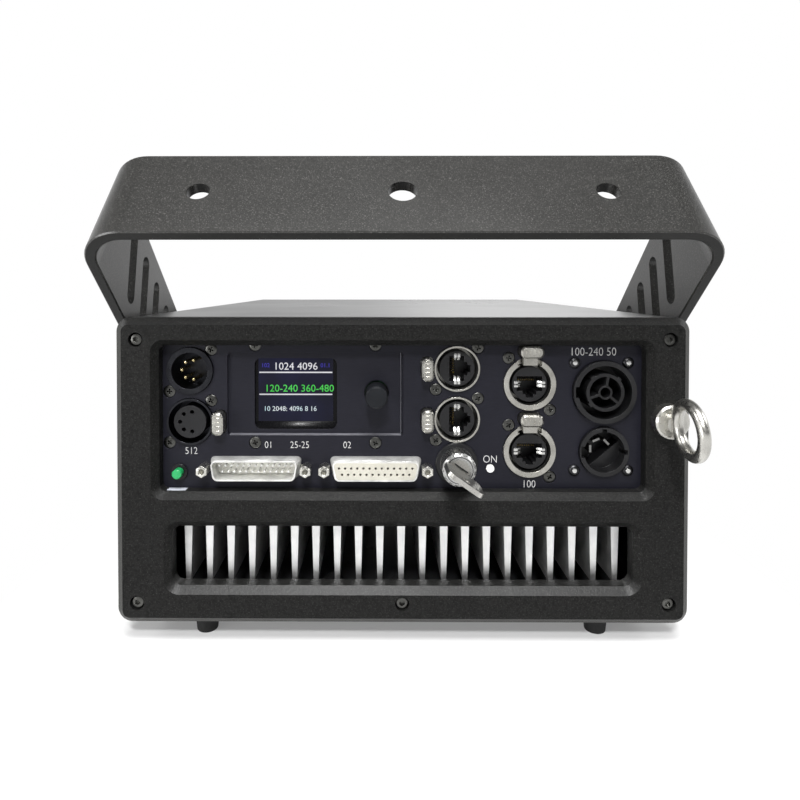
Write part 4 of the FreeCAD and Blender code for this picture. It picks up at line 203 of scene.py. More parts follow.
# Latch tabs
RIDGE_COUNT = 4
RIDGE_W = 0.55
RIDGE_H = 0.28
RIDGE_SHARE = 0.66
RIDGE_SINK = 0.1
RIDGE_TAPER = (0.9, 1.0, 0.5)
LATCHES = ("xlr_latch", "network_latch_1", "network_latch_2", "network_latch_3", "network_latch_4")

# Screen and its rows, on the connector panel's X and Z
SCREEN_X = (-66.7, -31.8)
SCREEN_Z = (99.4, 129.4)
SCREEN_T = 0.12
SCREEN_RIM = 0.3
SCREEN_DISH = 0.02
RULE_T = 0.6
RULE_INSET = 0.4
RULE_Z = (122.2, 111.9)
SCREEN_ROWS = (
    ("screen_left_number", "102", (-63.4, 125.4), 1.8, "pixel_blue"),
    ("screen_head_number", "1024 4096", (-49.3, 124.9), 3.2, "pixel_white"),
    ("screen_right_number", "01.1", (-35.4, 125.4), 1.8, "pixel_blue"),
    ("screen_middle_number", "120-240 360-480", (-47.6, 114.6), 3.1, "pixel_green"),
    ("screen_low_number", "10 2048: 4096 8 16", (-51.9, 105.1), 2.1, "pixel_cyan"),
)

# Edges of the display: the sloped sill under the screen and the lip of the sunk field, the lip in a lighter
# grey that is a painted highlight
FIELD_SINK = 1.5
SILL_X = (-67.9, -30.2)
SILL_Z = (96.0, 99.2)
SILL_LEFT = 0.2
LIP_X = (-79.6, -0.2)
LIP_Z = (93.4, 94.1)
LIP_W = 0.35
LIP_TOP = 136.4
LIP_SINK = 0.05
LIP_LEFT = 0.1

# Lettering on the panel: words, place, height of a capital
LETTERS = (
    ("word_on", "ON", (41.0, 82.3), 3.3),
    ("number_round_pair", "512", (-97.4, 86.0), 3.1),
    ("number_signal_plug", "01", (-61.5, 88.8), 3.0),
    ("number_signals", "25-25", (-47.1, 88.8), 3.0),
    ("number_signal_socket", "02", (-25.1, 88.8), 3.0),
    ("number_network", "100", (58.9, 70.8), 3.3),
    ("numbers_mains", "100-240 50", (88.2, 132.1), 3.6),
)
LETTER_T = 0.06
CAPITAL_SHARE = 0.66
LETTER_THIN = 0.022
LETTER_NARROW = 0.86

# Plain label on the lower edge of the panel window
LABEL_X = (-107.6, -99.0)
LABEL_Y = (5.0, 8.7)
LABEL_Z = 68.9
LABEL_T = 0.12


# Small helpers for materials

def fresh(name):
    """New material with an empty node tree, an output and a principled shader."""
    material = bpy.data.materials.new(name)
    material.use_nodes = True
    tree = material.node_tree
    tree.nodes.clear()
    output = tree.nodes.new("ShaderNodeOutputMaterial")
    shader = tree.nodes.new("ShaderNodeBsdfPrincipled")
    tree.links.new(shader.outputs["BSDF"], output.inputs["Surface"])
    return material, tree, shader


def calc(tree, operation, first, second=0.0):
    """One sum on two values, each a number or the outlet of another node."""
    node = tree.nodes.new("ShaderNodeMath")
    node.operation = operation
    for socket, value in zip(node.inputs, (first, second)):
        if isinstance(value, bpy.types.NodeSocket):
            tree.links.new(value, socket)
        else:
            socket.default_value = value
    return node.outputs["Value"]


def parts_of(tree, output):
    """X, Y and Z of the object coordinates or of the object normal."""
    place = tree.nodes.new("ShaderNodeTexCoord")
    split = tree.nodes.new("ShaderNodeSeparateXYZ")
    tree.links.new(place.outputs[output], split.inputs["Vector"])
    return split.outputs["X"], split.outputs["Y"], split.outputs["Z"]


def object_place(tree, stretch=(1.0, 1.0, 1.0)):
    """Object coordinates through a mapping that stretches the pattern."""
    place = tree.nodes.new("ShaderNodeTexCoord")
    mapping = tree.nodes.new("ShaderNodeMapping")
    mapping.inputs["Scale"].default_value = stretch
    tree.links.new(place.outputs["Object"], mapping.inputs["Vector"])
    return mapping.outputs["Vector"]


def noise(tree, vector, scale, detail=3.0, rough=0.55):
    """Cloudy pattern between 0 and 1."""
    texture = tree.nodes.new("ShaderNodeTexNoise")
    texture.inputs["Scale"].default_value = scale
    texture.inputs["Detail"].default_value = detail
    texture.inputs["Roughness"].default_value = rough
    tree.links.new(vector, texture.inputs["Vector"])
    return texture.outputs["Fac"]


def ramp(tree, value, low, high, start=0.35, end=0.65):
    """Colour between low and high as the value runs from start to end."""
    node = tree.nodes.new("ShaderNodeValToRGB")
    node.color_ramp.elements[0].position = start
    node.color_ramp.elements[0].color = (*low, 1.0)
    node.color_ramp.elements[1].position = end
    node.color_ramp.elements[1].color = (*high, 1.0)
    tree.links.new(value, node.inputs["Fac"])
    return node.outputs["Color"]


def span(tree, value, low, high, start=0.3, end=0.7):
    """Number between low and high as the value runs from start to end."""
    node = tree.nodes.new("ShaderNodeMapRange")
    node.inputs["From Min"].default_value = start
    node.inputs["From Max"].default_value = end
    node.inputs["To Min"].default_value = low
    node.inputs["To Max"].default_value = high
    tree.links.new(value, node.inputs["Value"])
    return node.outputs["Result"]


def blend(tree, share, first, second):
    """Colour from first to second by a share that is another node's outlet."""
    node = tree.nodes.new("ShaderNodeMix")
    node.data_type = "RGBA"
    tree.links.new(share, node.inputs["Factor"])
    for socket, value in ((node.inputs["A"], first), (node.inputs["B"], second)):
        colour = [other for other in node.inputs if other.name == socket.name and other.type == "RGBA"][0]
        if isinstance(value, bpy.types.NodeSocket):
            tree.links.new(value, colour)
        else:
            colour.default_value = (*value, 1.0)
    return [outlet for outlet in node.outputs if outlet.type == "RGBA"][0]


def soft_normal(tree, radius):
    """Normal that rounds the edges of the piece by a small radius."""
    node = tree.nodes.new("ShaderNodeBevel")
    node.samples = 4
    node.inputs["Radius"].default_value = radius
    return node.outputs["Normal"]


def bump(tree, shader, height, strength, distance, edge=0.0):
    """Fine relief from a pattern, over edges that look rounded where a radius is given."""
    node = tree.nodes.new("ShaderNodeBump")
    node.inputs["Strength"].default_value = strength
    node.inputs["Distance"].default_value = distance
    tree.links.new(height, node.inputs["Height"])
    if edge:
        tree.links.new(soft_normal(tree, edge), node.inputs["Normal"])
    tree.links.new(node.outputs["Normal"], shader.inputs["Normal"])


# Finishes

def powder_coat(name, low, high, fleck, roughness, grain, depth, shine=0.5):
    """Textured paint: fine pebbled grain, lighter flecks and a slight spread of gloss."""
    material, tree, shader = fresh(name)
    place = object_place(tree)
    pebble = noise(tree, place, grain, 4.0, 0.6)
    flecks = noise(tree, place, grain * 1.7, 2.0, 0.5)
    cloud = noise(tree, place, 18.0, 3.0)
    base = ramp(tree, pebble, low, high, 0.36, 0.66)
    colour = blend(tree, span(tree, flecks, 0.0, 1.0, 0.56, 0.72), base, fleck)
    tree.links.new(colour, shader.inputs["Base Color"])
    tree.links.new(span(tree, cloud, roughness - 0.02, roughness + 0.025), shader.inputs["Roughness"])
    shader.inputs["Specular IOR Level"].default_value = shine
    bump(tree, shader, pebble, 0.6, depth)
    return material, tree, shader, colour


def bezel_coat(low, high, fleck, bare):
    """Powder coat with a painted reflection: a lighter, partly metallic colour on its outer chamfer where
    that faces sideways or down.
    """
    material, tree, shader, colour = powder_coat("frame_paint", low, high, fleck, 0.44, 900.0, 0.00030)
    box_low, box_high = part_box("rear_bezel")
    x, _, z = parts_of(tree, "Object")
    side = calc(tree, "SUBTRACT", box_high.x, calc(tree, "ABSOLUTE", x))
    floor = calc(tree, "SUBTRACT", z, box_low.z)
    roof = calc(tree, "SUBTRACT", box_high.z, z)
    nearest = calc(tree, "MINIMUM", side, calc(tree, "MINIMUM", floor, roof))
    band = calc(tree, "LESS_THAN", nearest, CHAMFER_BAND * MM)
    _, facing, upward = parts_of(tree, "Normal")
    facing = calc(tree, "ABSOLUTE", facing)
    slant = calc(tree, "LESS_THAN", facing, CHAMFER_FACING[1])
    slant = calc(tree, "MULTIPLY", slant, calc(tree, "GREATER_THAN", facing, CHAMFER_FACING[0]))
    slant = calc(tree, "MULTIPLY", slant, calc(tree, "LESS_THAN", upward, CHAMFER_UPWARD))
    # Painted reflection: the chamfer band takes the lighter colour bare and some metallic.
    share = calc(tree, "MULTIPLY", band, slant)
    tree.links.new(blend(tree, share, colour, bare), shader.inputs["Base Color"])
    tree.links.new(calc(tree, "MULTIPLY", share, CHAMFER_SHEEN_METALLIC), shader.inputs["Metallic"])
    tree.links.new(span(tree, upward, *BEZEL_SHINE, 0.2, 0.5), shader.inputs["Specular IOR Level"])
    return material


def yoke_coat(low, high, fleck, cut):
    """Powder coat with painted shade: darker and duller on the edges of the yoke's strip."""
    material, tree, shader, colour = powder_coat("yoke_paint", low, high, fleck, 0.30, 1100.0, 0.00010)
    _, facing, upward = parts_of(tree, "Normal")
    ahead = calc(tree, "MULTIPLY", facing, SHADED_EDGE_NORMAL[0])
    edgewise = calc(tree, "ADD", ahead, calc(tree, "MULTIPLY", upward, SHADED_EDGE_NORMAL[1]))
    edgewise = calc(tree, "ABSOLUTE", edgewise)
    share = span(tree, edgewise, 0.0, 1.0, *SHADED_EDGE_FROM)
    # Painted shade: the edges take the darker colour cut.
    tree.links.new(blend(tree, share, colour, cut), shader.inputs["Base Color"])
    tree.links.new(span(tree, edgewise, *YOKE_SHINE, *SHADED_EDGE_FROM), shader.inputs["Specular IOR Level"])
    return material


def anodised(name, low, high, roughness, edge=0.0, shine=0.5):
    """Dyed aluminium: nearly even, with a faint fine streak."""
    material, tree, shader = fresh(name)
    streak = noise(tree, object_place(tree, (40.0, 1.0, 900.0)), 6.0, 3.0)
    speck = noise(tree, object_place(tree), 2200.0, 2.0)
    tree.links.new(ramp(tree, streak, low, high), shader.inputs["Base Color"])
    tree.links.new(span(tree, speck, roughness - 0.06, roughness + 0.06), shader.inputs["Roughness"])
    shader.inputs["Metallic"].default_value = 0.25
    shader.inputs["Specular IOR Level"].default_value = shine
    bump(tree, shader, speck, 0.25, 0.00003, edge)
    return material


def metal(name, low, high, roughness, stretch=(1.0, 1.0, 1.0), grain=900.0, depth=0.00003, edge=0.0,
          bare=1.0):
    """Bare or plated metal with a fine directional or even grain."""
    material, tree, shader = fresh(name)
    fine = noise(tree, object_place(tree, stretch), grain, 3.0)
    smudge = noise(tree, object_place(tree), 120.0, 4.0)
    tree.links.new(ramp(tree, smudge, low, high), shader.inputs["Base Color"])
    tree.links.new(span(tree, fine, roughness - 0.06, roughness + 0.08), shader.inputs["Roughness"])
    shader.inputs["Metallic"].default_value = bare
    bump(tree, shader, fine, 0.25, depth, edge)
    return material


def plastic(name, low, high, roughness, grain=1500.0, depth=0.00003, edge=0.0, shine=0.5):
    """Moulded plastic with a fine spark-eroded grain."""
    material, tree, shader = fresh(name)
    place = object_place(tree)
    fine = noise(tree, place, grain, 3.0)
    cloud = noise(tree, place, 60.0, 3.0)
    tree.links.new(ramp(tree, cloud, low, high), shader.inputs["Base Color"])
    tree.links.new(span(tree, fine, roughness - 0.05, roughness + 0.07), shader.inputs["Roughness"])
    shader.inputs["Specular IOR Level"].default_value = shine
    bump(tree, shader, fine, 0.3, depth, edge)
    return material


def lit(name, low, high, strength, scale=90.0):
    """Glowing colour of the screen, a little uneven."""
    material, tree, shader = fresh(name)
    colour = ramp(tree, noise(tree, object_place(tree), scale, 2.0), low, high)
    tree.links.new(colour, shader.inputs["Emission Color"])
    shader.inputs["Emission Strength"].default_value = strength
    shader.inputs["Base Color"].default_value = (0.004, 0.004, 0.006, 1.0)
    shader.inputs["Roughness"].default_value = 0.3
    shader.inputs["Specular IOR Level"].default_value = 0.12
    return material


def contact_metal():
    """Gold pins of the round plug; the signal plug lower down has tinned ones."""
    material, tree, shader = fresh("contact_metal")
    smudge = noise(tree, object_place(tree), 300.0, 3.0)
    _, _, z = parts_of(tree, "Object")
    low_row = calc(tree, "LESS_THAN", z, TINNED_BELOW * MM)
    gold = ramp(tree, smudge, (0.50, 0.40, 0.19), (0.68, 0.57, 0.32))
    tinned = ramp(tree, smudge, (0.78, 0.78, 0.75), (0.90, 0.90, 0.87))
    tree.links.new(blend(tree, low_row, gold, tinned), shader.inputs["Base Color"])
    tree.links.new(span(tree, low_row, 1.0, 0.4, 0.0, 1.0), shader.inputs["Metallic"])
    tree.links.new(span(tree, smudge, 0.22, 0.32), shader.inputs["Roughness"])
    return material


def clear_glass():
    """Glass of the beam window, faintly smeared."""
    material, tree, shader = fresh("clear_glass")
    smear = noise(tree, object_place(tree), 40.0, 3.0)
    shader.inputs["Base Color"].default_value = (0.92, 0.95, 0.95, 1.0)
    tree.links.new(span(tree, smear, 0.01, 0.05), shader.inputs["Roughness"])
    shader.inputs["Transmission Weight"].default_value = 1.0
    shader.inputs["IOR"].default_value = 1.48
    return material


def mirror_coat():
    """Coated face of the mirrors."""
    material, tree, shader = fresh("mirror_coat")
    smear = noise(tree, object_place(tree), 60.0, 3.0)
    shader.inputs["Base Color"].default_value = (0.90, 0.91, 0.92, 1.0)
    shader.inputs["Metallic"].default_value = 1.0
    tree.links.new(span(tree, smear, 0.02, 0.06), shader.inputs["Roughness"])
    return material


FINE_EDGE = 0.00025
FINISHES = {
    # The last colour of frame_paint is the painted reflection on the bezel's outer chamfer.
    "frame_paint": bezel_coat((0.0048, 0.0048, 0.0046), (0.0115, 0.0115, 0.0110),
                              (0.027, 0.027, 0.0255), (0.046, 0.046, 0.0425)),
    "cover_paint": powder_coat("cover_paint", (0.010, 0.010, 0.011), (0.018, 0.018, 0.019),
                               (0.030, 0.030, 0.031), 0.29, 700.0, 0.000008, 0.6)[0],
    "panel_black": anodised("panel_black", (0.007, 0.007, 0.0115), (0.010, 0.010, 0.016), 0.44,
                            FINE_EDGE, 0.26),
    # The last colour of yoke_paint is painted shade on the edges of the strip.
    "yoke_paint": yoke_coat((0.012, 0.0118, 0.011), (0.024, 0.0236, 0.022),
                            (0.095, 0.093, 0.088), (0.009, 0.009, 0.0085)),
    "sink_aluminium": metal("sink_aluminium", (0.78, 0.78, 0.78), (0.90, 0.90, 0.89), 0.42,
                            (1.0, 0.02, 1.0), 700.0),
    "optic_aluminium": anodised("optic_aluminium", (0.020, 0.020, 0.022), (0.030, 0.030, 0.032), 0.42),
    "foot_rubber": plastic("foot_rubber", (0.008, 0.008, 0.008), (0.014, 0.014, 0.014), 0.62, 700.0, 0.00008,
                           shine=0.3),
    "black_steel": metal("black_steel", (0.030, 0.030, 0.032), (0.055, 0.055, 0.058), 0.36),
    "grey_steel": metal("grey_steel", (0.070, 0.070, 0.066), (0.115, 0.115, 0.108), 0.32, edge=FINE_EDGE),
    "plain_steel": metal("plain_steel", (0.60, 0.60, 0.59), (0.74, 0.74, 0.72), 0.26),
    "stainless": metal("stainless", (0.50, 0.49, 0.46), (0.62, 0.61, 0.57), 0.30),
    "nylon": plastic("nylon", (0.50, 0.49, 0.45), (0.60, 0.59, 0.55), 0.48),
    "nickel": metal("nickel", (0.36, 0.35, 0.32), (0.52, 0.51, 0.47), 0.30, edge=FINE_EDGE),
    "black_shell": metal("black_shell", (0.022, 0.0225, 0.026), (0.040, 0.041, 0.046), 0.32, edge=FINE_EDGE),
    "black_plastic": plastic("black_plastic", (0.0055, 0.0055, 0.006), (0.0095, 0.0095, 0.0105), 0.33,
                             edge=FINE_EDGE, shine=0.32),
    "dial_plastic": plastic("dial_plastic", (0.006, 0.0065, 0.008), (0.010, 0.011, 0.013), 0.38,
                            edge=FINE_EDGE, shine=0.14),
    "tin": metal("tin", (0.54, 0.54, 0.525), (0.88, 0.88, 0.85), 0.36, edge=FINE_EDGE, bare=0.64),
    "cream_plastic": plastic("cream_plastic", (0.36, 0.345, 0.295), (0.43, 0.415, 0.36), 0.46),
    "gold": metal("gold", (0.50, 0.41, 0.20), (0.66, 0.56, 0.32), 0.26),
    "contact_metal": contact_metal(),
    "blade_steel": metal("blade_steel", (0.20, 0.20, 0.195), (0.30, 0.30, 0.29), 0.30),
    "post_nickel": metal("post_nickel", (0.66, 0.65, 0.60), (0.80, 0.79, 0.74), 0.24, grain=2400.0),
    # Brighter cream for the signal plug's insulator: painted light inside its open shell.
    "plug_cream_painted_light": plastic("plug_cream_painted_light", (0.72, 0.71, 0.66), (0.82, 0.81, 0.76), 0.46),
    "lock_chrome": metal("lock_chrome", (0.52, 0.52, 0.51), (0.58, 0.58, 0.57), 0.26,
                         grain=2600.0, depth=0.000008),
    "key_steel": metal("key_steel", (0.50, 0.49, 0.46), (0.56, 0.55, 0.52), 0.30,
                       grain=2600.0, depth=0.000008),
    "lamp_white": plastic("lamp_white", (0.66, 0.66, 0.65), (0.76, 0.76, 0.74), 0.22),
    "button_green": plastic("button_green", (0.010, 0.26, 0.075), (0.016, 0.34, 0.10), 0.30),
    "board_green": plastic("board_green", (0.010, 0.06, 0.025), (0.016, 0.09, 0.035), 0.40),
    "screen": plastic("screen", (0.0015, 0.0015, 0.002), (0.0025, 0.0025, 0.003), 0.24, shine=0.12),
    "window_glass": clear_glass(),
    "mask_metal": powder_coat("mask_metal", (0.008, 0.008, 0.009), (0.016, 0.016, 0.017),
                              (0.030, 0.030, 0.031), 0.40, 900.0, 0.00004)[0],
    "mirror": mirror_coat(),
    "letter_paint": plastic("letter_paint", (0.40, 0.40, 0.40), (0.54, 0.54, 0.54), 0.50),
    # Lighter grey of the display lip: a painted highlight.
    "highlight_grey": anodised("highlight_grey", (0.10, 0.10, 0.115), (0.16, 0.16, 0.18), 0.34),
    "label_paper": plastic("label_paper", (0.42, 0.44, 0.49), (0.50, 0.52, 0.58), 0.55),
    "pixel_navy": lit("pixel_navy", (0.003, 0.003, 0.010), (0.008, 0.009, 0.036), 0.7, 45.0),
    "pixel_white": lit("pixel_white", (0.70, 0.70, 0.74), (0.88, 0.88, 0.92), 0.9),
    "pixel_blue": lit("pixel_blue", (0.05, 0.04, 0.42), (0.08, 0.06, 0.56), 0.9),
    "pixel_green": lit("pixel_green", (0.07, 0.66, 0.08), (0.12, 0.84, 0.14), 0.9),
    "pixel_cyan": lit("pixel_cyan", (0.50, 0.76, 0.84), (0.82, 0.88, 0.90), 0.9),
}
# The signal plug's insulator takes the brighter cream, which is painted light.
OWN_FINISH = {"contact_pins": "contact_metal", "signal_plug_insulator": "plug_cream_painted_light",
              "jack_posts": "post_nickel", "power_contacts": "blade_steel"}


def dress_nodes():
    """Every CAD node gets the finish of its slot in the record, or a finer one of its own."""
    for part in frame["record"]["subparts"]:
        node = nodes[part["node"]]
        finish = FINISHES[OWN_FINISH.get(part["node"], part["material_slot"])]
        if not node.material_slots:
            node.data.materials.append(finish)
        for slot in node.material_slots:
            slot.material = finish


# Small helpers for modelling

def begin(*chosen):
    """Object mode with only the given objects selected, the first of them active."""
    if bpy.context.object and bpy.context.object.mode != "OBJECT":
        bpy.ops.object.mode_set(mode="OBJECT")
    bpy.ops.object.select_all(action="DESELECT")
    for piece in chosen:
        piece.select_set(True)
    if chosen:
        bpy.context.view_layer.objects.active = chosen[0]


def named(name):
    """Name for the newest object and its mesh."""
    piece = bpy.context.object
    piece.name = name
    piece.data.name = name
    return piece


def settle(piece, place=(0.0, 0.0, 0.0), turn=(0.0, 0.0, 0.0)):
    """Put a place and a turn into the mesh, so that the object stays at the origin."""
    begin(piece)
    piece.location = Vector(piece.location) + Vector(place)
    piece.rotation_euler = Vector(piece.rotation_euler) + Vector(turn)
    bpy.ops.object.transform_apply(location=True, rotation=True, scale=True)


def pick_faces(piece, test):
    """Edit mode with only the faces that the test takes by their centre and normal."""
    begin(piece)
    bpy.ops.object.mode_set(mode="EDIT")
    bpy.ops.mesh.select_mode(type="FACE")
    bpy.ops.mesh.select_all(action="DESELECT")
    bpy.ops.object.mode_set(mode="OBJECT")
    for face in piece.data.polygons:
        face.select = test(face.center, face.normal)
    bpy.ops.object.mode_set(mode="EDIT")


def pick_points(piece, test):
    """Edit mode with only the corner points that the test takes."""
    begin(piece)
    bpy.ops.object.mode_set(mode="EDIT")
    bpy.ops.mesh.select_mode(type="VERT")
    bpy.ops.mesh.select_all(action="DESELECT")
    bpy.ops.object.mode_set(mode="OBJECT")
    for point in piece.data.vertices:
        point.select = test(point.co)
    bpy.ops.object.mode_set(mode="EDIT")


def block(name, low, high):
    """Box between two corners in millimetres."""
    begin()
    low, high = Vector(low) * MM, Vector(high) * MM
    bpy.ops.mesh.primitive_cube_add(size=1.0, location=(low + high) / 2, scale=high - low)
    piece = named(name)
    settle(piece)
    return piece


def turned(name, profile, segments=32, hollow=False):
    """Circle extruded and scaled along (radius, depth) steps in millimetres, with its axis along Y."""
    begin()
    radius, depth = profile[0]
    bpy.ops.mesh.primitive_circle_add(vertices=segments, radius=radius * MM, location=(0.0, 0.0, depth * MM))
    piece = named(name)
    settle(piece)
    bpy.ops.object.mode_set(mode="EDIT")
    bpy.ops.mesh.select_mode(type="EDGE")
    bpy.ops.mesh.select_all(action="SELECT")
    for wider, deeper in profile[1:]:
        step = (0.0, 0.0, (deeper - depth) * MM)
        bpy.ops.mesh.extrude_region_move(TRANSFORM_OT_translate={"value": step})
        share = wider / radius
        bpy.ops.transform.resize(value=(share, share, 1.0), center_override=(0.0, 0.0, deeper * MM))
        radius, depth = wider, deeper
    if hollow:
        bpy.ops.mesh.select_all(action="DESELECT")
        bpy.ops.mesh.select_non_manifold()
        bpy.ops.mesh.bridge_edge_loops()
    else:
        bpy.ops.mesh.select_all(action="SELECT")
        bpy.ops.mesh.fill_holes(sides=0)
    bpy.ops.mesh.select_all(action="SELECT")
    bpy.ops.mesh.normals_make_consistent(inside=False)
    settle(piece, turn=(-QUARTER, 0.0, 0.0))
    return piece


def carve(piece, cutter):
    """Take the cutter's shape out of the piece."""
    begin(piece)
    bpy.ops.object.modifier_add(type="BOOLEAN")
    cut = piece.modifiers[-1]
    cut.operation = "DIFFERENCE"
    cut.object = cutter
    bpy.ops.object.modifier_apply(modifier=cut.name)
    bpy.data.objects.remove(cutter, do_unlink=True)


def soften(piece, width, segments=2):
    """Round the sharp edges by a width in millimetres."""
    begin(piece)
    bpy.ops.object.modifier_add(type="BEVEL")
    edge = piece.modifiers[-1]
    edge.width = width * MM
    edge.segments = segments
    edge.limit_method = "ANGLE"
    bpy.ops.object.modifier_apply(modifier=edge.name)


def copied(pattern, place, turn=(0.0, 0.0, 0.0)):
    """Copy of a pattern, with a mesh of its own, set at a place and turned."""
    copy = pattern.copy()
    copy.data = pattern.data.copy()
    bpy.context.collection.objects.link(copy)
    settle(copy, place, turn)
    return copy


def joined(name, parts, *patterns):
    """Parts made into one piece; the patterns they were copied from are cleared away."""
    begin(*parts)
    bpy.ops.object.join()
    piece = named(name)
    for pattern in patterns:
        bpy.data.objects.remove(pattern, do_unlink=True)
    return piece


def dressed(piece, finish, body="housing", own=None):
    """Finish, or a finer one of its own, smooth shading and the body the piece moves with."""
    begin(piece)
    bpy.ops.object.shade_smooth_by_angle(angle=math.radians(SMOOTH_ANGLE))
    piece.data.materials.clear()
    piece.data.materials.append(FINISHES[own or finish])
    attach(piece, body)
    return piece


def solids_of(name):
    """Corner pairs of the separate solids in a CAD node."""
    mesh = nodes[name].data
    seen = {}
    owner = []
    for index, vertex in enumerate(mesh.vertices):
        owner.append(seen.setdefault(tuple(round(value / WELD) for value in vertex.co), index))

    def root(index):
        while owner[index] != index:
            index = owner[index]
        return index

    for face in mesh.polygons:
        first = root(face.vertices[0])
        for other in face.vertices[1:]:
            owner[root(other)] = first
    groups = {}
    for index, vertex in enumerate(mesh.vertices):
        groups.setdefault(root(index), []).append(vertex.co)
    return [(Vector(map(min, zip(*group))), Vector(map(max, zip(*group)))) for group in groups.values()]


def face_of(name):
    """Corners of a CAD node's flat face that looks at the viewer."""
    low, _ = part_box(name)
    front = [vertex.co for vertex in nodes[name].data.vertices if vertex.co.y < low.y + FACE_DEEP * MM]
    return Vector(map(min, zip(*front))), Vector(map(max, zip(*front)))


def front_middle(low, high):
    """Middle of the side of a box that looks at the viewer."""
    return Vector(((low.x + high.x) / 2, low.y, (low.z + high.z) / 2))


# Screws

OUTWARD = {
    (0, -1): (0.0, 0.0, -QUARTER),
    (0, 1): (0.0, 0.0, QUARTER),
    (1, -1): (0.0, 0.0, 0.0),
    (1, 1): (0.0, 0.0, 2 * QUARTER),
    (2, -1): (QUARTER, 0.0, 0.0),
}


def long_axis(low, high):
    """Number of the axis along which a box is longest."""
    size = high - low
    return max(range(3), key=lambda axis: size[axis])


def cap_screw(radius, head, length):
    """Cap screw that looks at the viewer: rounded head, hexagon socket and shank."""
    screw = turned("cap_screw", (
        (CAP_SHANK_R, length),
        (CAP_SHANK_R, head),
        (radius, head),
        (radius, CAP_ROUND),
        (radius - CAP_ROUND * EDGE_SHARE, CAP_ROUND * EDGE_SHARE),
        (radius - CAP_ROUND, 0.0),
    ))
    begin()
    deep = min(CAP_SOCKET_DEEP, head * CAP_SOCKET_SHARE)
    bpy.ops.mesh.primitive_cylinder_add(vertices=6, radius=CAP_SOCKET_R * MM, depth=2 * deep * MM,
                                        rotation=(QUARTER, 0.0, 0.0))
    socket = named("socket")
    settle(socket)
    carve(screw, socket)
    return screw


def add_cap_screws():
    """A cap screw at each place of the housing screws, looking away from the middle of the housing."""
    solids = solids_of("housing_screws")
    low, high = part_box("top_cover")
    middle = (low + high) / 2
    patterns, screws = {}, []
    for low, high in solids:
        axis = long_axis(low, high)
        place = (low + high) / 2
        side = -1 if place[axis] < middle[axis] else 1
        if axis not in patterns:
            across = (axis + 1) % 3
            radius = (high[across] - low[across]) / 2 / MM
            patterns[axis] = cap_screw(radius, CAP_HEADS[axis], (high[axis] - low[axis]) / MM)
        place[axis] = low[axis] if side < 0 else high[axis]
        screws.append(copied(patterns[axis], place, OUTWARD[axis, side]))
    piece = joined("cap_screws", screws, *patterns.values())
    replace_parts(dressed(piece, "grey_steel"), "housing_screws")


def add_cross_screws():
    """A cross-head screw at each place of the panel screws."""
    solids = solids_of("panel_screws")
    low, high = solids[0]
    radius = (high.x - low.x) / 2 / MM
    screw = turned("cross_screw", (
        (CROSS_SHANK_R, (high.y - low.y) / MM),
        (CROSS_SHANK_R, CROSS_HEAD),
        (radius, CROSS_HEAD),
        (radius, CROSS_ROUND),
        (radius - CROSS_ROUND, CROSS_ROUND * EDGE_SHARE),
        (radius * CROSS_FLAT, 0.0),
    ))
    for wide, tall in ((CROSS_WIDTH, CROSS_REACH * 2), (CROSS_REACH * 2, CROSS_WIDTH)):
        blade = block("blade", (-wide / 2, -CROSS_DEEP, -tall / 2), (wide / 2, CROSS_DEEP, tall / 2))
        pick_faces(blade, lambda centre, normal: normal.y > FLAT)
        bpy.ops.transform.resize(value=(CROSS_TAPER, 1.0, CROSS_TAPER),
                                 center_override=(0.0, CROSS_DEEP * MM, 0.0))
        begin()
        carve(screw, blade)
    screws = [copied(screw, front_middle(low, high), (0.0, CROSS_TURN * index, 0.0))
              for index, (low, high) in enumerate(solids)]
    piece = joined("cross_screws", screws, screw)
    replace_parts(dressed(piece, "grey_steel"), "panel_screws")


def add_rivets():
    """Blind rivets of the mains sockets: a dark dome with the bright end of its pin in the middle."""
    solids = solids_of("power_screws")
    low, high = solids[0]
    radius = (high.x - low.x) / 2 / MM
    dome = turned("dome", (
        (RIVET_SHANK_R, (high.y - low.y) / MM),
        (RIVET_SHANK_R, RIVET_HEAD),
        (radius, RIVET_HEAD),
        (radius, RIVET_RIM),
        *((radius * share, deep) for share, deep in RIVET_CROWN),
        (RIVET_PIN_R + RIVET_LIP, 0.0),
        *((RIVET_PIN_R, deep) for deep in RIVET_HOLE),
    ))
    pin = turned("pin", (
        *((RIVET_PIN_R - RIVET_PIN_PLAY, deep) for deep in RIVET_PIN_ENDS),
        *((RIVET_PIN_R * share, deep) for share, deep in RIVET_PIN_CROWN),
    ))
    places = [front_middle(low, high) for low, high in solids]
    domes = joined("rivet_domes", [copied(dome, place) for place in places], dome)
    pins = joined("rivet_pins", [copied(pin, place) for place in places], pin)
    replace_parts(dressed(domes, "black_steel"), "power_screws")
    dressed(pins, "plain_steel")


def add_pin_tips():
    """Rounded tip on each gold pin of the round plug."""
    pins = [(low, high) for low, high in solids_of("contact_pins") if low.z > TINNED_BELOW * MM]
    low, high = pins[0]
    radius = (high.x - low.x) / 2 / MM
    tip = turned("tip", (
        (radius, TIP_ROOT),
        (radius, 0.0),
        *((radius * share, -radius * reach) for share, reach in TIP_CROWN),
    ), 24)
    tips = [copied(tip, front_middle(low, high)) for low, high in pins]
    dressed(joined("pin_tips", tips, tip), "gold")


# Network sockets

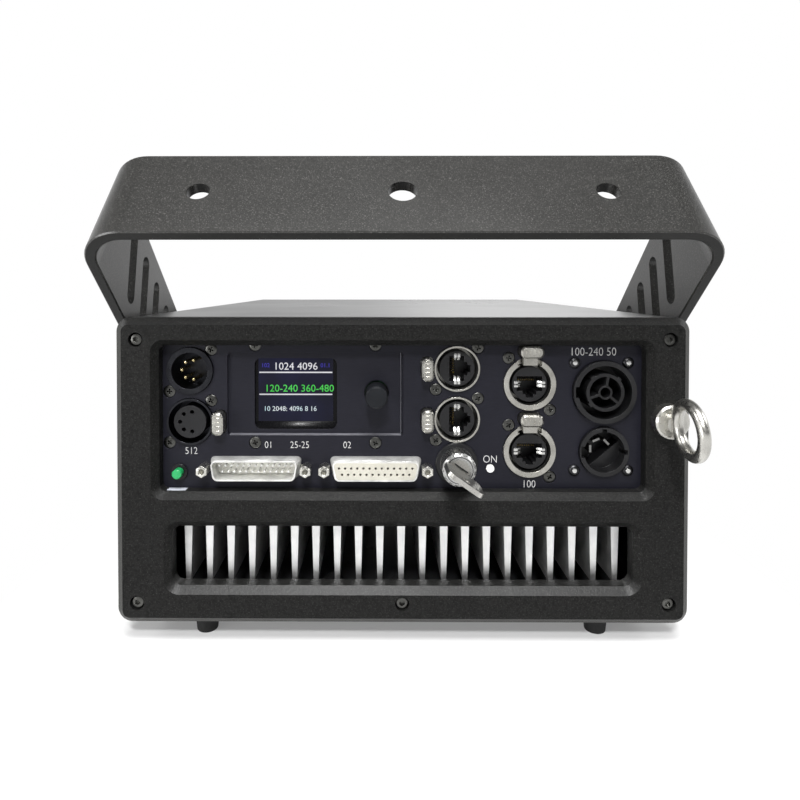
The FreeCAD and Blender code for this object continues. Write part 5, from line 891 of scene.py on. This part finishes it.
def add_network_detail():
    """Dark liners, shield springs and contact wires of the four network sockets."""
    inserts = solids_of("network_inserts")
    liners, leaves, wires = [], [], []
    leaf = block("leaf", (-LEAF_W / 2, -LEAF_T, LEAF_REACH[0]), (LEAF_W / 2, 0.0, LEAF_REACH[1]))
    pick_faces(leaf, lambda centre, normal: normal.z < -FLAT)
    bpy.ops.mesh.extrude_region_move(TRANSFORM_OT_translate={"value": Vector(LEAF_BEND) * MM})
    soften(leaf, ROUNDING["leaf"])
    step = (LEAF_W + LEAF_GAP) / 2 * MM
    leaf = joined("leaf_pair", [copied(leaf, (side * step, 0.0, 0.0)) for side in (-1, 1)], leaf)
    wire = block("wire", (-WIRE_T / 2, 0.0, -WIRE_T / 2), (WIRE_T / 2, WIRE_L, WIRE_T / 2))
    pick_faces(wire, lambda centre, normal: normal.y < -FLAT)
    bpy.ops.transform.translate(value=(0.0, 0.0, WIRE_DIP * MM))
    bpy.ops.mesh.extrude_region_move(TRANSFORM_OT_translate={"value": Vector(WIRE_HOOK) * MM})
    soften(wire, ROUNDING["wire"])
    begin(wire)
    bpy.ops.object.modifier_add(type="ARRAY")
    row = wire.modifiers[-1]
    row.count = WIRE_COUNT
    row.use_relative_offset = False
    row.use_constant_offset = True
    row.constant_offset_displace = (WIRE_PITCH * MM, 0.0, 0.0)
    bpy.ops.object.modifier_apply(modifier=row.name)
    settle(wire, (-WIRE_PITCH * (WIRE_COUNT - 1) / 2 * MM, 0.0, 0.0))
    for low, high in inserts:
        middle = front_middle(low, high)
        radius = (high.x - low.x) / 2 / MM + LINER_GAP
        liner = turned("liner", (
            (radius, LINER_SINK),
            (radius, LINER_SINK + LINER_L),
            (radius - LINER_T, LINER_SINK + LINER_L),
            (radius - LINER_T, LINER_SINK),
        ), 48, hollow=True)
        settle(liner, middle)
        upright = middle.x < PATTERN_SPLIT * MM
        if not upright:
            x, y, z = middle / MM
            back, top = y + LINER_SINK + LINER_L + CUT_PAST, z + radius + CUT_PAST
            carve(liner, block("notch", (x - LINER_NOTCH[0] / 2, y, z + radius - LINER_NOTCH[1]),
                               (x + LINER_NOTCH[0] / 2, back, top)))
        liners.append(liner)
        first = 0.0 if upright else QUARTER
        for turn in (first, first + 2 * QUARTER):
            leaves.append(copied(leaf, middle, (0.0, turn, 0.0)))
        if upright:
            place, turn = Vector((-WIRE_OFF, WIRE_SINK, 0.0)), QUARTER
        else:
            place, turn = Vector((0.0, WIRE_SINK, WIRE_OFF)), 2 * QUARTER
        wires.append(copied(wire, middle + place * MM, (0.0, turn, 0.0)))
    dressed(joined("network_liners", liners), "black_plastic")
    dressed(joined("shield_springs", leaves, leaf), "plain_steel")
    dressed(joined("network_wires", wires, wire), "gold")


# Signal connectors

def round_long_edges(piece, radius):
    """Round the edges that run along Y."""
    begin(piece)
    bpy.ops.object.mode_set(mode="EDIT")
    bpy.ops.mesh.select_mode(type="EDGE")
    bpy.ops.mesh.select_all(action="DESELECT")
    bpy.ops.object.mode_set(mode="OBJECT")
    points = piece.data.vertices
    for edge in piece.data.edges:
        run = points[edge.vertices[0]].co - points[edge.vertices[1]].co
        edge.select = abs(run.y) > 0.5 * run.length
    bpy.ops.object.mode_set(mode="EDIT")
    bpy.ops.mesh.bevel(offset=radius * MM, offset_type="OFFSET", segments=5, affect="EDGES")
    begin()


def signal_outline(name, low, high, grow=(0.0, 0.0)):
    """D-shaped block, wide side up, whose far end is grown all round."""
    piece = block(name, low, high)
    middle = (Vector(low) + Vector(high)) / 2
    size = Vector(high) - Vector(low)
    tuck = size.z * math.tan(math.radians(SKIRT_LEAN)) * MM
    for side in (-1, 1):
        pick_points(piece, lambda place: place.z < middle.z * MM and (place.x - middle.x * MM) * side > 0)
        bpy.ops.transform.translate(value=(-side * tuck, 0.0, 0.0))
    pick_faces(piece, lambda centre, normal: normal.y > FLAT)
    shares = ((size.x + 2 * grow[0]) / size.x, 1.0, (size.z + 2 * grow[1]) / size.z)
    bpy.ops.transform.resize(value=shares, center_override=(middle.x * MM, high[1] * MM, middle.z * MM))
    round_long_edges(piece, SKIRT_CORNER)
    return piece


def add_signal_skirts():
    """Tapered skirt of each signal connector's drawn shell, and the lip round the socket's mouth."""
    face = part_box("connector_panel")[0].y / MM
    skirts = []
    for name in ("signal_plug_shell", "signal_socket_shell"):
        low, high = (corner / MM for corner in face_of(name))
        skirt = signal_outline("skirt", (low.x, low.y + SKIRT_BACK, low.z),
                               (high.x, face, high.z), SKIRT_GROW)
        core = signal_outline("core", (low.x - SKIRT_PLAY, low.y - CUT_PAST, low.z - SKIRT_PLAY),
                              (high.x + SKIRT_PLAY, face + CUT_PAST, high.z + SKIRT_PLAY))
        carve(skirt, core)
        soften(skirt, ROUNDING["skirt"])
        skirts.append(skirt)
    dressed(joined("signal_skirts", skirts), "tin")
    low, high = (corner / MM for corner in face_of("signal_socket_shell"))
    lip = signal_outline("socket_lip", (low.x, low.y - MOUTH_T, low.z), (high.x, low.y + MOUTH_T, high.z))
    mouth = signal_outline("mouth", (low.x + MOUTH_W, low.y - CUT_PAST, low.z + MOUTH_W),
                           (high.x - MOUTH_W, low.y + CUT_PAST, high.z - MOUTH_W))
    carve(lip, mouth)
    soften(lip, ROUNDING["socket_lip"])
    dressed(lip, "tin")


def add_post_lips():
    """Turned lip round the threaded hole of each jack post."""
    inner, outer = POST_LIP_R
    lip = turned("lip", (
        (inner, POST_LIP_SINK),
        (inner, -POST_LIP_H * POST_LIP_SHARE),
        (inner + POST_LIP_EDGE, -POST_LIP_H),
        (outer - POST_LIP_SLOPE, -POST_LIP_H),
        (outer - POST_LIP_EDGE, -POST_LIP_H * POST_LIP_SHARE),
        (outer, 0.0),
    ), 32, hollow=True)
    lips = [copied(lip, front_middle(low, high)) for low, high in solids_of("jack_posts")]
    dressed(joined("post_lips", lips, lip), "stainless", own=OWN_FINISH["jack_posts"])


# Latch tabs

def add_grip_ridges():
    """Low rounded ridges across each latch tab."""
    for name in LATCHES:
        low, high = face_of(name)
        size = (high - low) / MM
        middle = front_middle(low, high)
        tall = size.z > size.x
        length = (size.x if tall else size.z) * RIDGE_SHARE
        pitch = (size.z if tall else size.x) * RIDGE_SHARE / (RIDGE_COUNT - 1)
        ridge = block("ridge", (-length / 2, -RIDGE_H, -RIDGE_W / 2), (length / 2, RIDGE_SINK, RIDGE_W / 2))
        pick_faces(ridge, lambda centre, normal: normal.y < -FLAT)
        bpy.ops.transform.resize(value=RIDGE_TAPER, center_override=(0.0, -RIDGE_H * MM, 0.0))
        soften(ridge, ROUNDING["ridge"])
        turn = (0.0, 0.0 if tall else QUARTER, 0.0)
        ridges = []
        for index in range(RIDGE_COUNT):
            along = (index - (RIDGE_COUNT - 1) / 2) * pitch * MM
            offset = Vector((0.0, 0.0, along)) if tall else Vector((along, 0.0, 0.0))
            ridges.append(copied(ridge, middle + offset, turn))
        dressed(joined(name + "_ridges", ridges, ridge), "nickel", name)


# Screen, lettering and label

def lettering(name, words, place, height, finish, thin=0.0, narrow=1.0):
    """Words on a face that looks at the viewer, centred on a place in metres."""
    begin()
    bpy.ops.object.text_add()
    text = bpy.context.object
    text.data.body = words
    text.data.size = height / CAPITAL_SHARE * MM
    text.data.align_x = "CENTER"
    text.data.align_y = "CENTER"
    text.data.extrude = LETTER_T / 2 * MM
    text.data.offset = -thin * height * MM
    text.data.resolution_u = 3
    bpy.ops.object.convert(target="MESH")
    piece = named(name)
    bpy.ops.object.mode_set(mode="EDIT")
    bpy.ops.mesh.select_all(action="SELECT")
    bpy.ops.mesh.remove_doubles(threshold=WELD)
    bpy.ops.mesh.normals_make_consistent(inside=False)
    bpy.ops.transform.resize(value=(narrow, 1.0, 1.0), center_override=(0.0, 0.0, 0.0))
    settle(piece, place, (QUARTER, 0.0, 0.0))
    return dressed(piece, finish)


def add_screen():
    """Lit field of the screen with two rules and plain numbers."""
    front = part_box("lcd_panel")[0].y / MM
    (left, right), (low, high) = SCREEN_X, SCREEN_Z
    field = block("screen_field", (left, front - SCREEN_T, low), (right, front, high))
    pick_faces(field, lambda centre, normal: normal.y < -FLAT)
    bpy.ops.mesh.inset(thickness=SCREEN_RIM * MM, depth=-SCREEN_DISH * MM)
    begin()
    dressed(field, "pixel_navy")
    rules = []
    for height in RULE_Z:
        rule = block("rule", (left + RULE_INSET, front - SCREEN_T - LETTER_T, height - RULE_T / 2),
                     (right - RULE_INSET, front - SCREEN_T, height + RULE_T / 2))
        soften(rule, ROUNDING["rule"])
        rules.append(rule)
    dressed(joined("screen_rules", rules), "pixel_white")
    for name, words, (x, z), height, finish in SCREEN_ROWS:
        lettering(name, words, Vector((x, front - SCREEN_T - LETTER_T / 2, z)) * MM, height, finish)


def add_display_edges():
    """Sloped sill under the screen and the rounded lip along the sunk field, in a lighter grey that is a
    painted highlight.
    """
    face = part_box("connector_panel")[0].y / MM
    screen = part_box("lcd_panel")[0].y / MM
    field = face + FIELD_SINK
    edge = face + LIP_SINK
    sill = block("screen_sill", (SILL_X[0], field, SILL_Z[0]), (SILL_X[1], screen, SILL_Z[1]))
    pick_points(sill, lambda place: place.y < (field + NEAR) * MM and place.z > (SILL_Z[1] - NEAR) * MM)
    bpy.ops.transform.translate(value=(0.0, 0.0, (SILL_Z[0] - SILL_Z[1] + SILL_LEFT) * MM))
    soften(sill, ROUNDING["sill"])
    dressed(sill, "screen")
    lip = block("display_lip", (LIP_X[0], edge, LIP_Z[0]), (LIP_X[1], field, LIP_Z[1]))
    pick_points(lip, lambda place: place.y < (edge + NEAR) * MM and place.z > (LIP_Z[1] - NEAR) * MM)
    bpy.ops.transform.translate(value=(0.0, 0.0, (LIP_Z[0] - LIP_Z[1] + LIP_LEFT) * MM))
    soften(lip, ROUNDING["display_lip"])
    upright = block("upright", (LIP_X[1] - LIP_W, edge, LIP_Z[1]), (LIP_X[1], field, LIP_TOP))
    pick_points(upright, lambda place: place.y < (edge + NEAR) * MM and place.x < (LIP_X[1] - NEAR) * MM)
    bpy.ops.transform.translate(value=((LIP_W - LIP_LEFT) * MM, 0.0, 0.0))
    soften(upright, ROUNDING["upright"])
    # The lip's lighter grey is a painted highlight.
    dressed(joined("display_lip", [lip, upright]), "highlight_grey")


def add_lock_washer():
    """Dark washer over the collar of the key lock, dark ring round its barrel, and a dark strip that is
    painted shade in its keyway.
    """
    middle = front_middle(*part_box("key_barrel"))
    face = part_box("connector_panel")[0].y
    inner, outer = WASHER_R
    washer = turned("lock_washer", (
        (outer, 0.0),
        (outer, -WASHER_T + WASHER_EDGE),
        (outer - WASHER_EDGE, -WASHER_T),
        (inner, -WASHER_T),
        (inner, 0.0),
    ), 64, hollow=True)
    settle(washer, (middle.x, face, middle.z))
    dressed(washer, "black_plastic")
    inner, outer = SEAM_R
    seam = turned("barrel_seam", (
        (outer, SEAM_SINK),
        (outer, 0.0),
        (outer - SEAM_EDGE, -SEAM_T),
        (inner + SEAM_EDGE, -SEAM_T),
        (inner, 0.0),
        (inner, SEAM_SINK),
    ), 48, hollow=True)
    settle(seam, middle)
    dressed(seam, "black_steel")
    # Painted shade: a dark strip on the barrel's face where the keyway's slot lies.
    keyway = block("keyway_shade", (-KEYWAY_L / 2, -SEAM_T, KEYWAY_OFF),
                   (KEYWAY_L / 2, KEYWAY_SINK, KEYWAY_OFF + KEYWAY_W))
    soften(keyway, ROUNDING["keyway"])
    settle(keyway, middle, (0.0, math.radians(KEYWAY_TURN), 0.0))
    dressed(keyway, "black_steel", "key_group")


def add_lettering():
    """Plain numbers and a switch word on the connector panel."""
    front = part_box("connector_panel")[0].y / MM
    for name, words, (x, z), height in LETTERS:
        lettering(name, words, Vector((x, front - LETTER_T / 2, z)) * MM, height, "letter_paint",
                  LETTER_THIN, LETTER_NARROW)


def add_label():
    """Plain label that lies on the lower edge of the panel window."""
    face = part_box("rear_bezel")[0].y / MM
    label = block("plain_label", (LABEL_X[0], face + LABEL_Y[0], LABEL_Z),
                  (LABEL_X[1], face + LABEL_Y[1], LABEL_Z + LABEL_T))
    soften(label, ROUNDING["label"])
    dressed(label, "label_paper")


# Studio

def add_camera():
    """Camera with the photograph's place, lens and shift."""
    data = bpy.data.cameras.new("camera")
    data.sensor_width = SENSOR_MM
    data.lens = FOCAL_PX / PHOTO_PX * SENSOR_MM
    data.shift_x = (PHOTO_PX / 2 - CENTRE_PX[0]) / PHOTO_PX
    data.shift_y = (CENTRE_PX[1] - PHOTO_PX / 2) / PHOTO_PX
    camera = bpy.data.objects.new("camera", data)
    camera.location = Vector(CAMERA_MM) * MM
    camera.rotation_euler = (math.radians(90.0 - CAMERA_PITCH), 0.0, math.radians(CAMERA_YAW))
    bpy.context.collection.objects.link(camera)
    bpy.context.scene.camera = camera


def seen_directly(tree):
    """1 for rays that show the background: straight from the camera, mirrored or through glass."""
    path = tree.nodes.new("ShaderNodeLightPath")
    mirrored = calc(tree, "MAXIMUM", path.outputs["Is Glossy Ray"], path.outputs["Is Transmission Ray"])
    return calc(tree, "MAXIMUM", path.outputs["Is Camera Ray"], mirrored)


def add_floor():
    """Pale paper: shadows show near the object, and it runs out to plain white further off."""
    begin()
    bpy.ops.mesh.primitive_plane_add(size=FLOOR_SIZE, location=(0.0, 0.0, 0.0))
    floor = bpy.context.object
    floor.name = "floor"
    material = bpy.data.materials.new("floor_paper")
    material.use_nodes = True
    tree = material.node_tree
    tree.nodes.clear()
    output = tree.nodes.new("ShaderNodeOutputMaterial")
    paper = tree.nodes.new("ShaderNodeBsdfDiffuse")
    paper.inputs["Color"].default_value = (FLOOR_WHITE, FLOOR_WHITE, FLOOR_WHITE, 1.0)
    glow = tree.nodes.new("ShaderNodeEmission")
    glow.inputs["Color"].default_value = (1.0, 1.0, 1.0, 1.0)
    mix = tree.nodes.new("ShaderNodeMixShader")
    x, y, _ = parts_of(tree, "Object")
    _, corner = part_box("rear_bezel")
    _, back = cad_box
    aside = calc(tree, "MAXIMUM", calc(tree, "SUBTRACT", calc(tree, "ABSOLUTE", x), corner.x), 0.0)
    ahead = calc(tree, "MAXIMUM", calc(tree, "SUBTRACT", calc(tree, "ABSOLUTE", y), back[1]), 0.0)
    away = calc(tree, "ADD", calc(tree, "MULTIPLY", aside, aside), calc(tree, "MULTIPLY", ahead, ahead))
    share = span(tree, calc(tree, "SQRT", away), FLOOR_GLOW_NEAR, 1.0, 0.0, FLOOR_FADE)
    tree.links.new(calc(tree, "MULTIPLY", seen_directly(tree), share), mix.inputs["Fac"])
    tree.links.new(paper.outputs["BSDF"], mix.inputs[1])
    tree.links.new(glow.outputs["Emission"], mix.inputs[2])
    tree.links.new(mix.outputs["Shader"], output.inputs["Surface"])
    floor.data.materials.append(material)


def add_world():
    """White wall behind the object; mirrored rays find a dimmer room in front of it and above."""
    world = bpy.data.worlds.new("studio")
    bpy.context.scene.world = world
    world.use_nodes = True
    tree = world.node_tree
    tree.nodes.clear()
    output = tree.nodes.new("ShaderNodeOutputWorld")
    sky = tree.nodes.new("ShaderNodeBackground")
    sky.inputs["Color"].default_value = (1.0, 1.0, 1.0, 1.0)
    _, behind, upward = parts_of(tree, "Generated")
    low_down = span(tree, upward, 1.0, 0.0, *WALL_HEIGHT)
    wall = calc(tree, "MULTIPLY", span(tree, behind, 0.0, 1.0, *WALL_BEHIND), low_down)
    wall = span(tree, wall, ROOM_LIGHT, 1.0, 0.0, 1.0)
    path = tree.nodes.new("ShaderNodeLightPath")
    straight = calc(tree, "MAXIMUM", path.outputs["Is Camera Ray"], path.outputs["Is Transmission Ray"])
    strength = calc(tree, "MULTIPLY", wall, path.outputs["Is Glossy Ray"])
    strength = calc(tree, "MAXIMUM", calc(tree, "MAXIMUM", strength, straight), WORLD_LIGHT)
    tree.links.new(strength, sky.inputs["Strength"])
    tree.links.new(sky.outputs["Background"], output.inputs["Surface"])


def add_softbox(name, place, aim, size, watts):
    """Rectangular lamp at a place, turned towards its aim."""
    data = bpy.data.lights.new(name, "AREA")
    data.shape = "RECTANGLE"
    data.size, data.size_y = size
    data.energy = watts
    lamp = bpy.data.objects.new(name, data)
    lamp.location = place
    lamp.rotation_euler = (Vector(aim) - Vector(place)).to_track_quat("-Z", "Y").to_euler()
    bpy.context.collection.objects.link(lamp)


dress_nodes()
add_cap_screws()
add_cross_screws()
add_rivets()
add_pin_tips()
add_network_detail()
add_signal_skirts()
add_post_lips()
add_grip_ridges()
add_lock_washer()
add_screen()
add_display_edges()
add_lettering()
add_label()
begin()
add_floor()
add_world()
for softbox in SOFTBOXES:
    add_softbox(*softbox)
add_camera()
bpy.context.scene.view_settings.view_transform = "Standard"
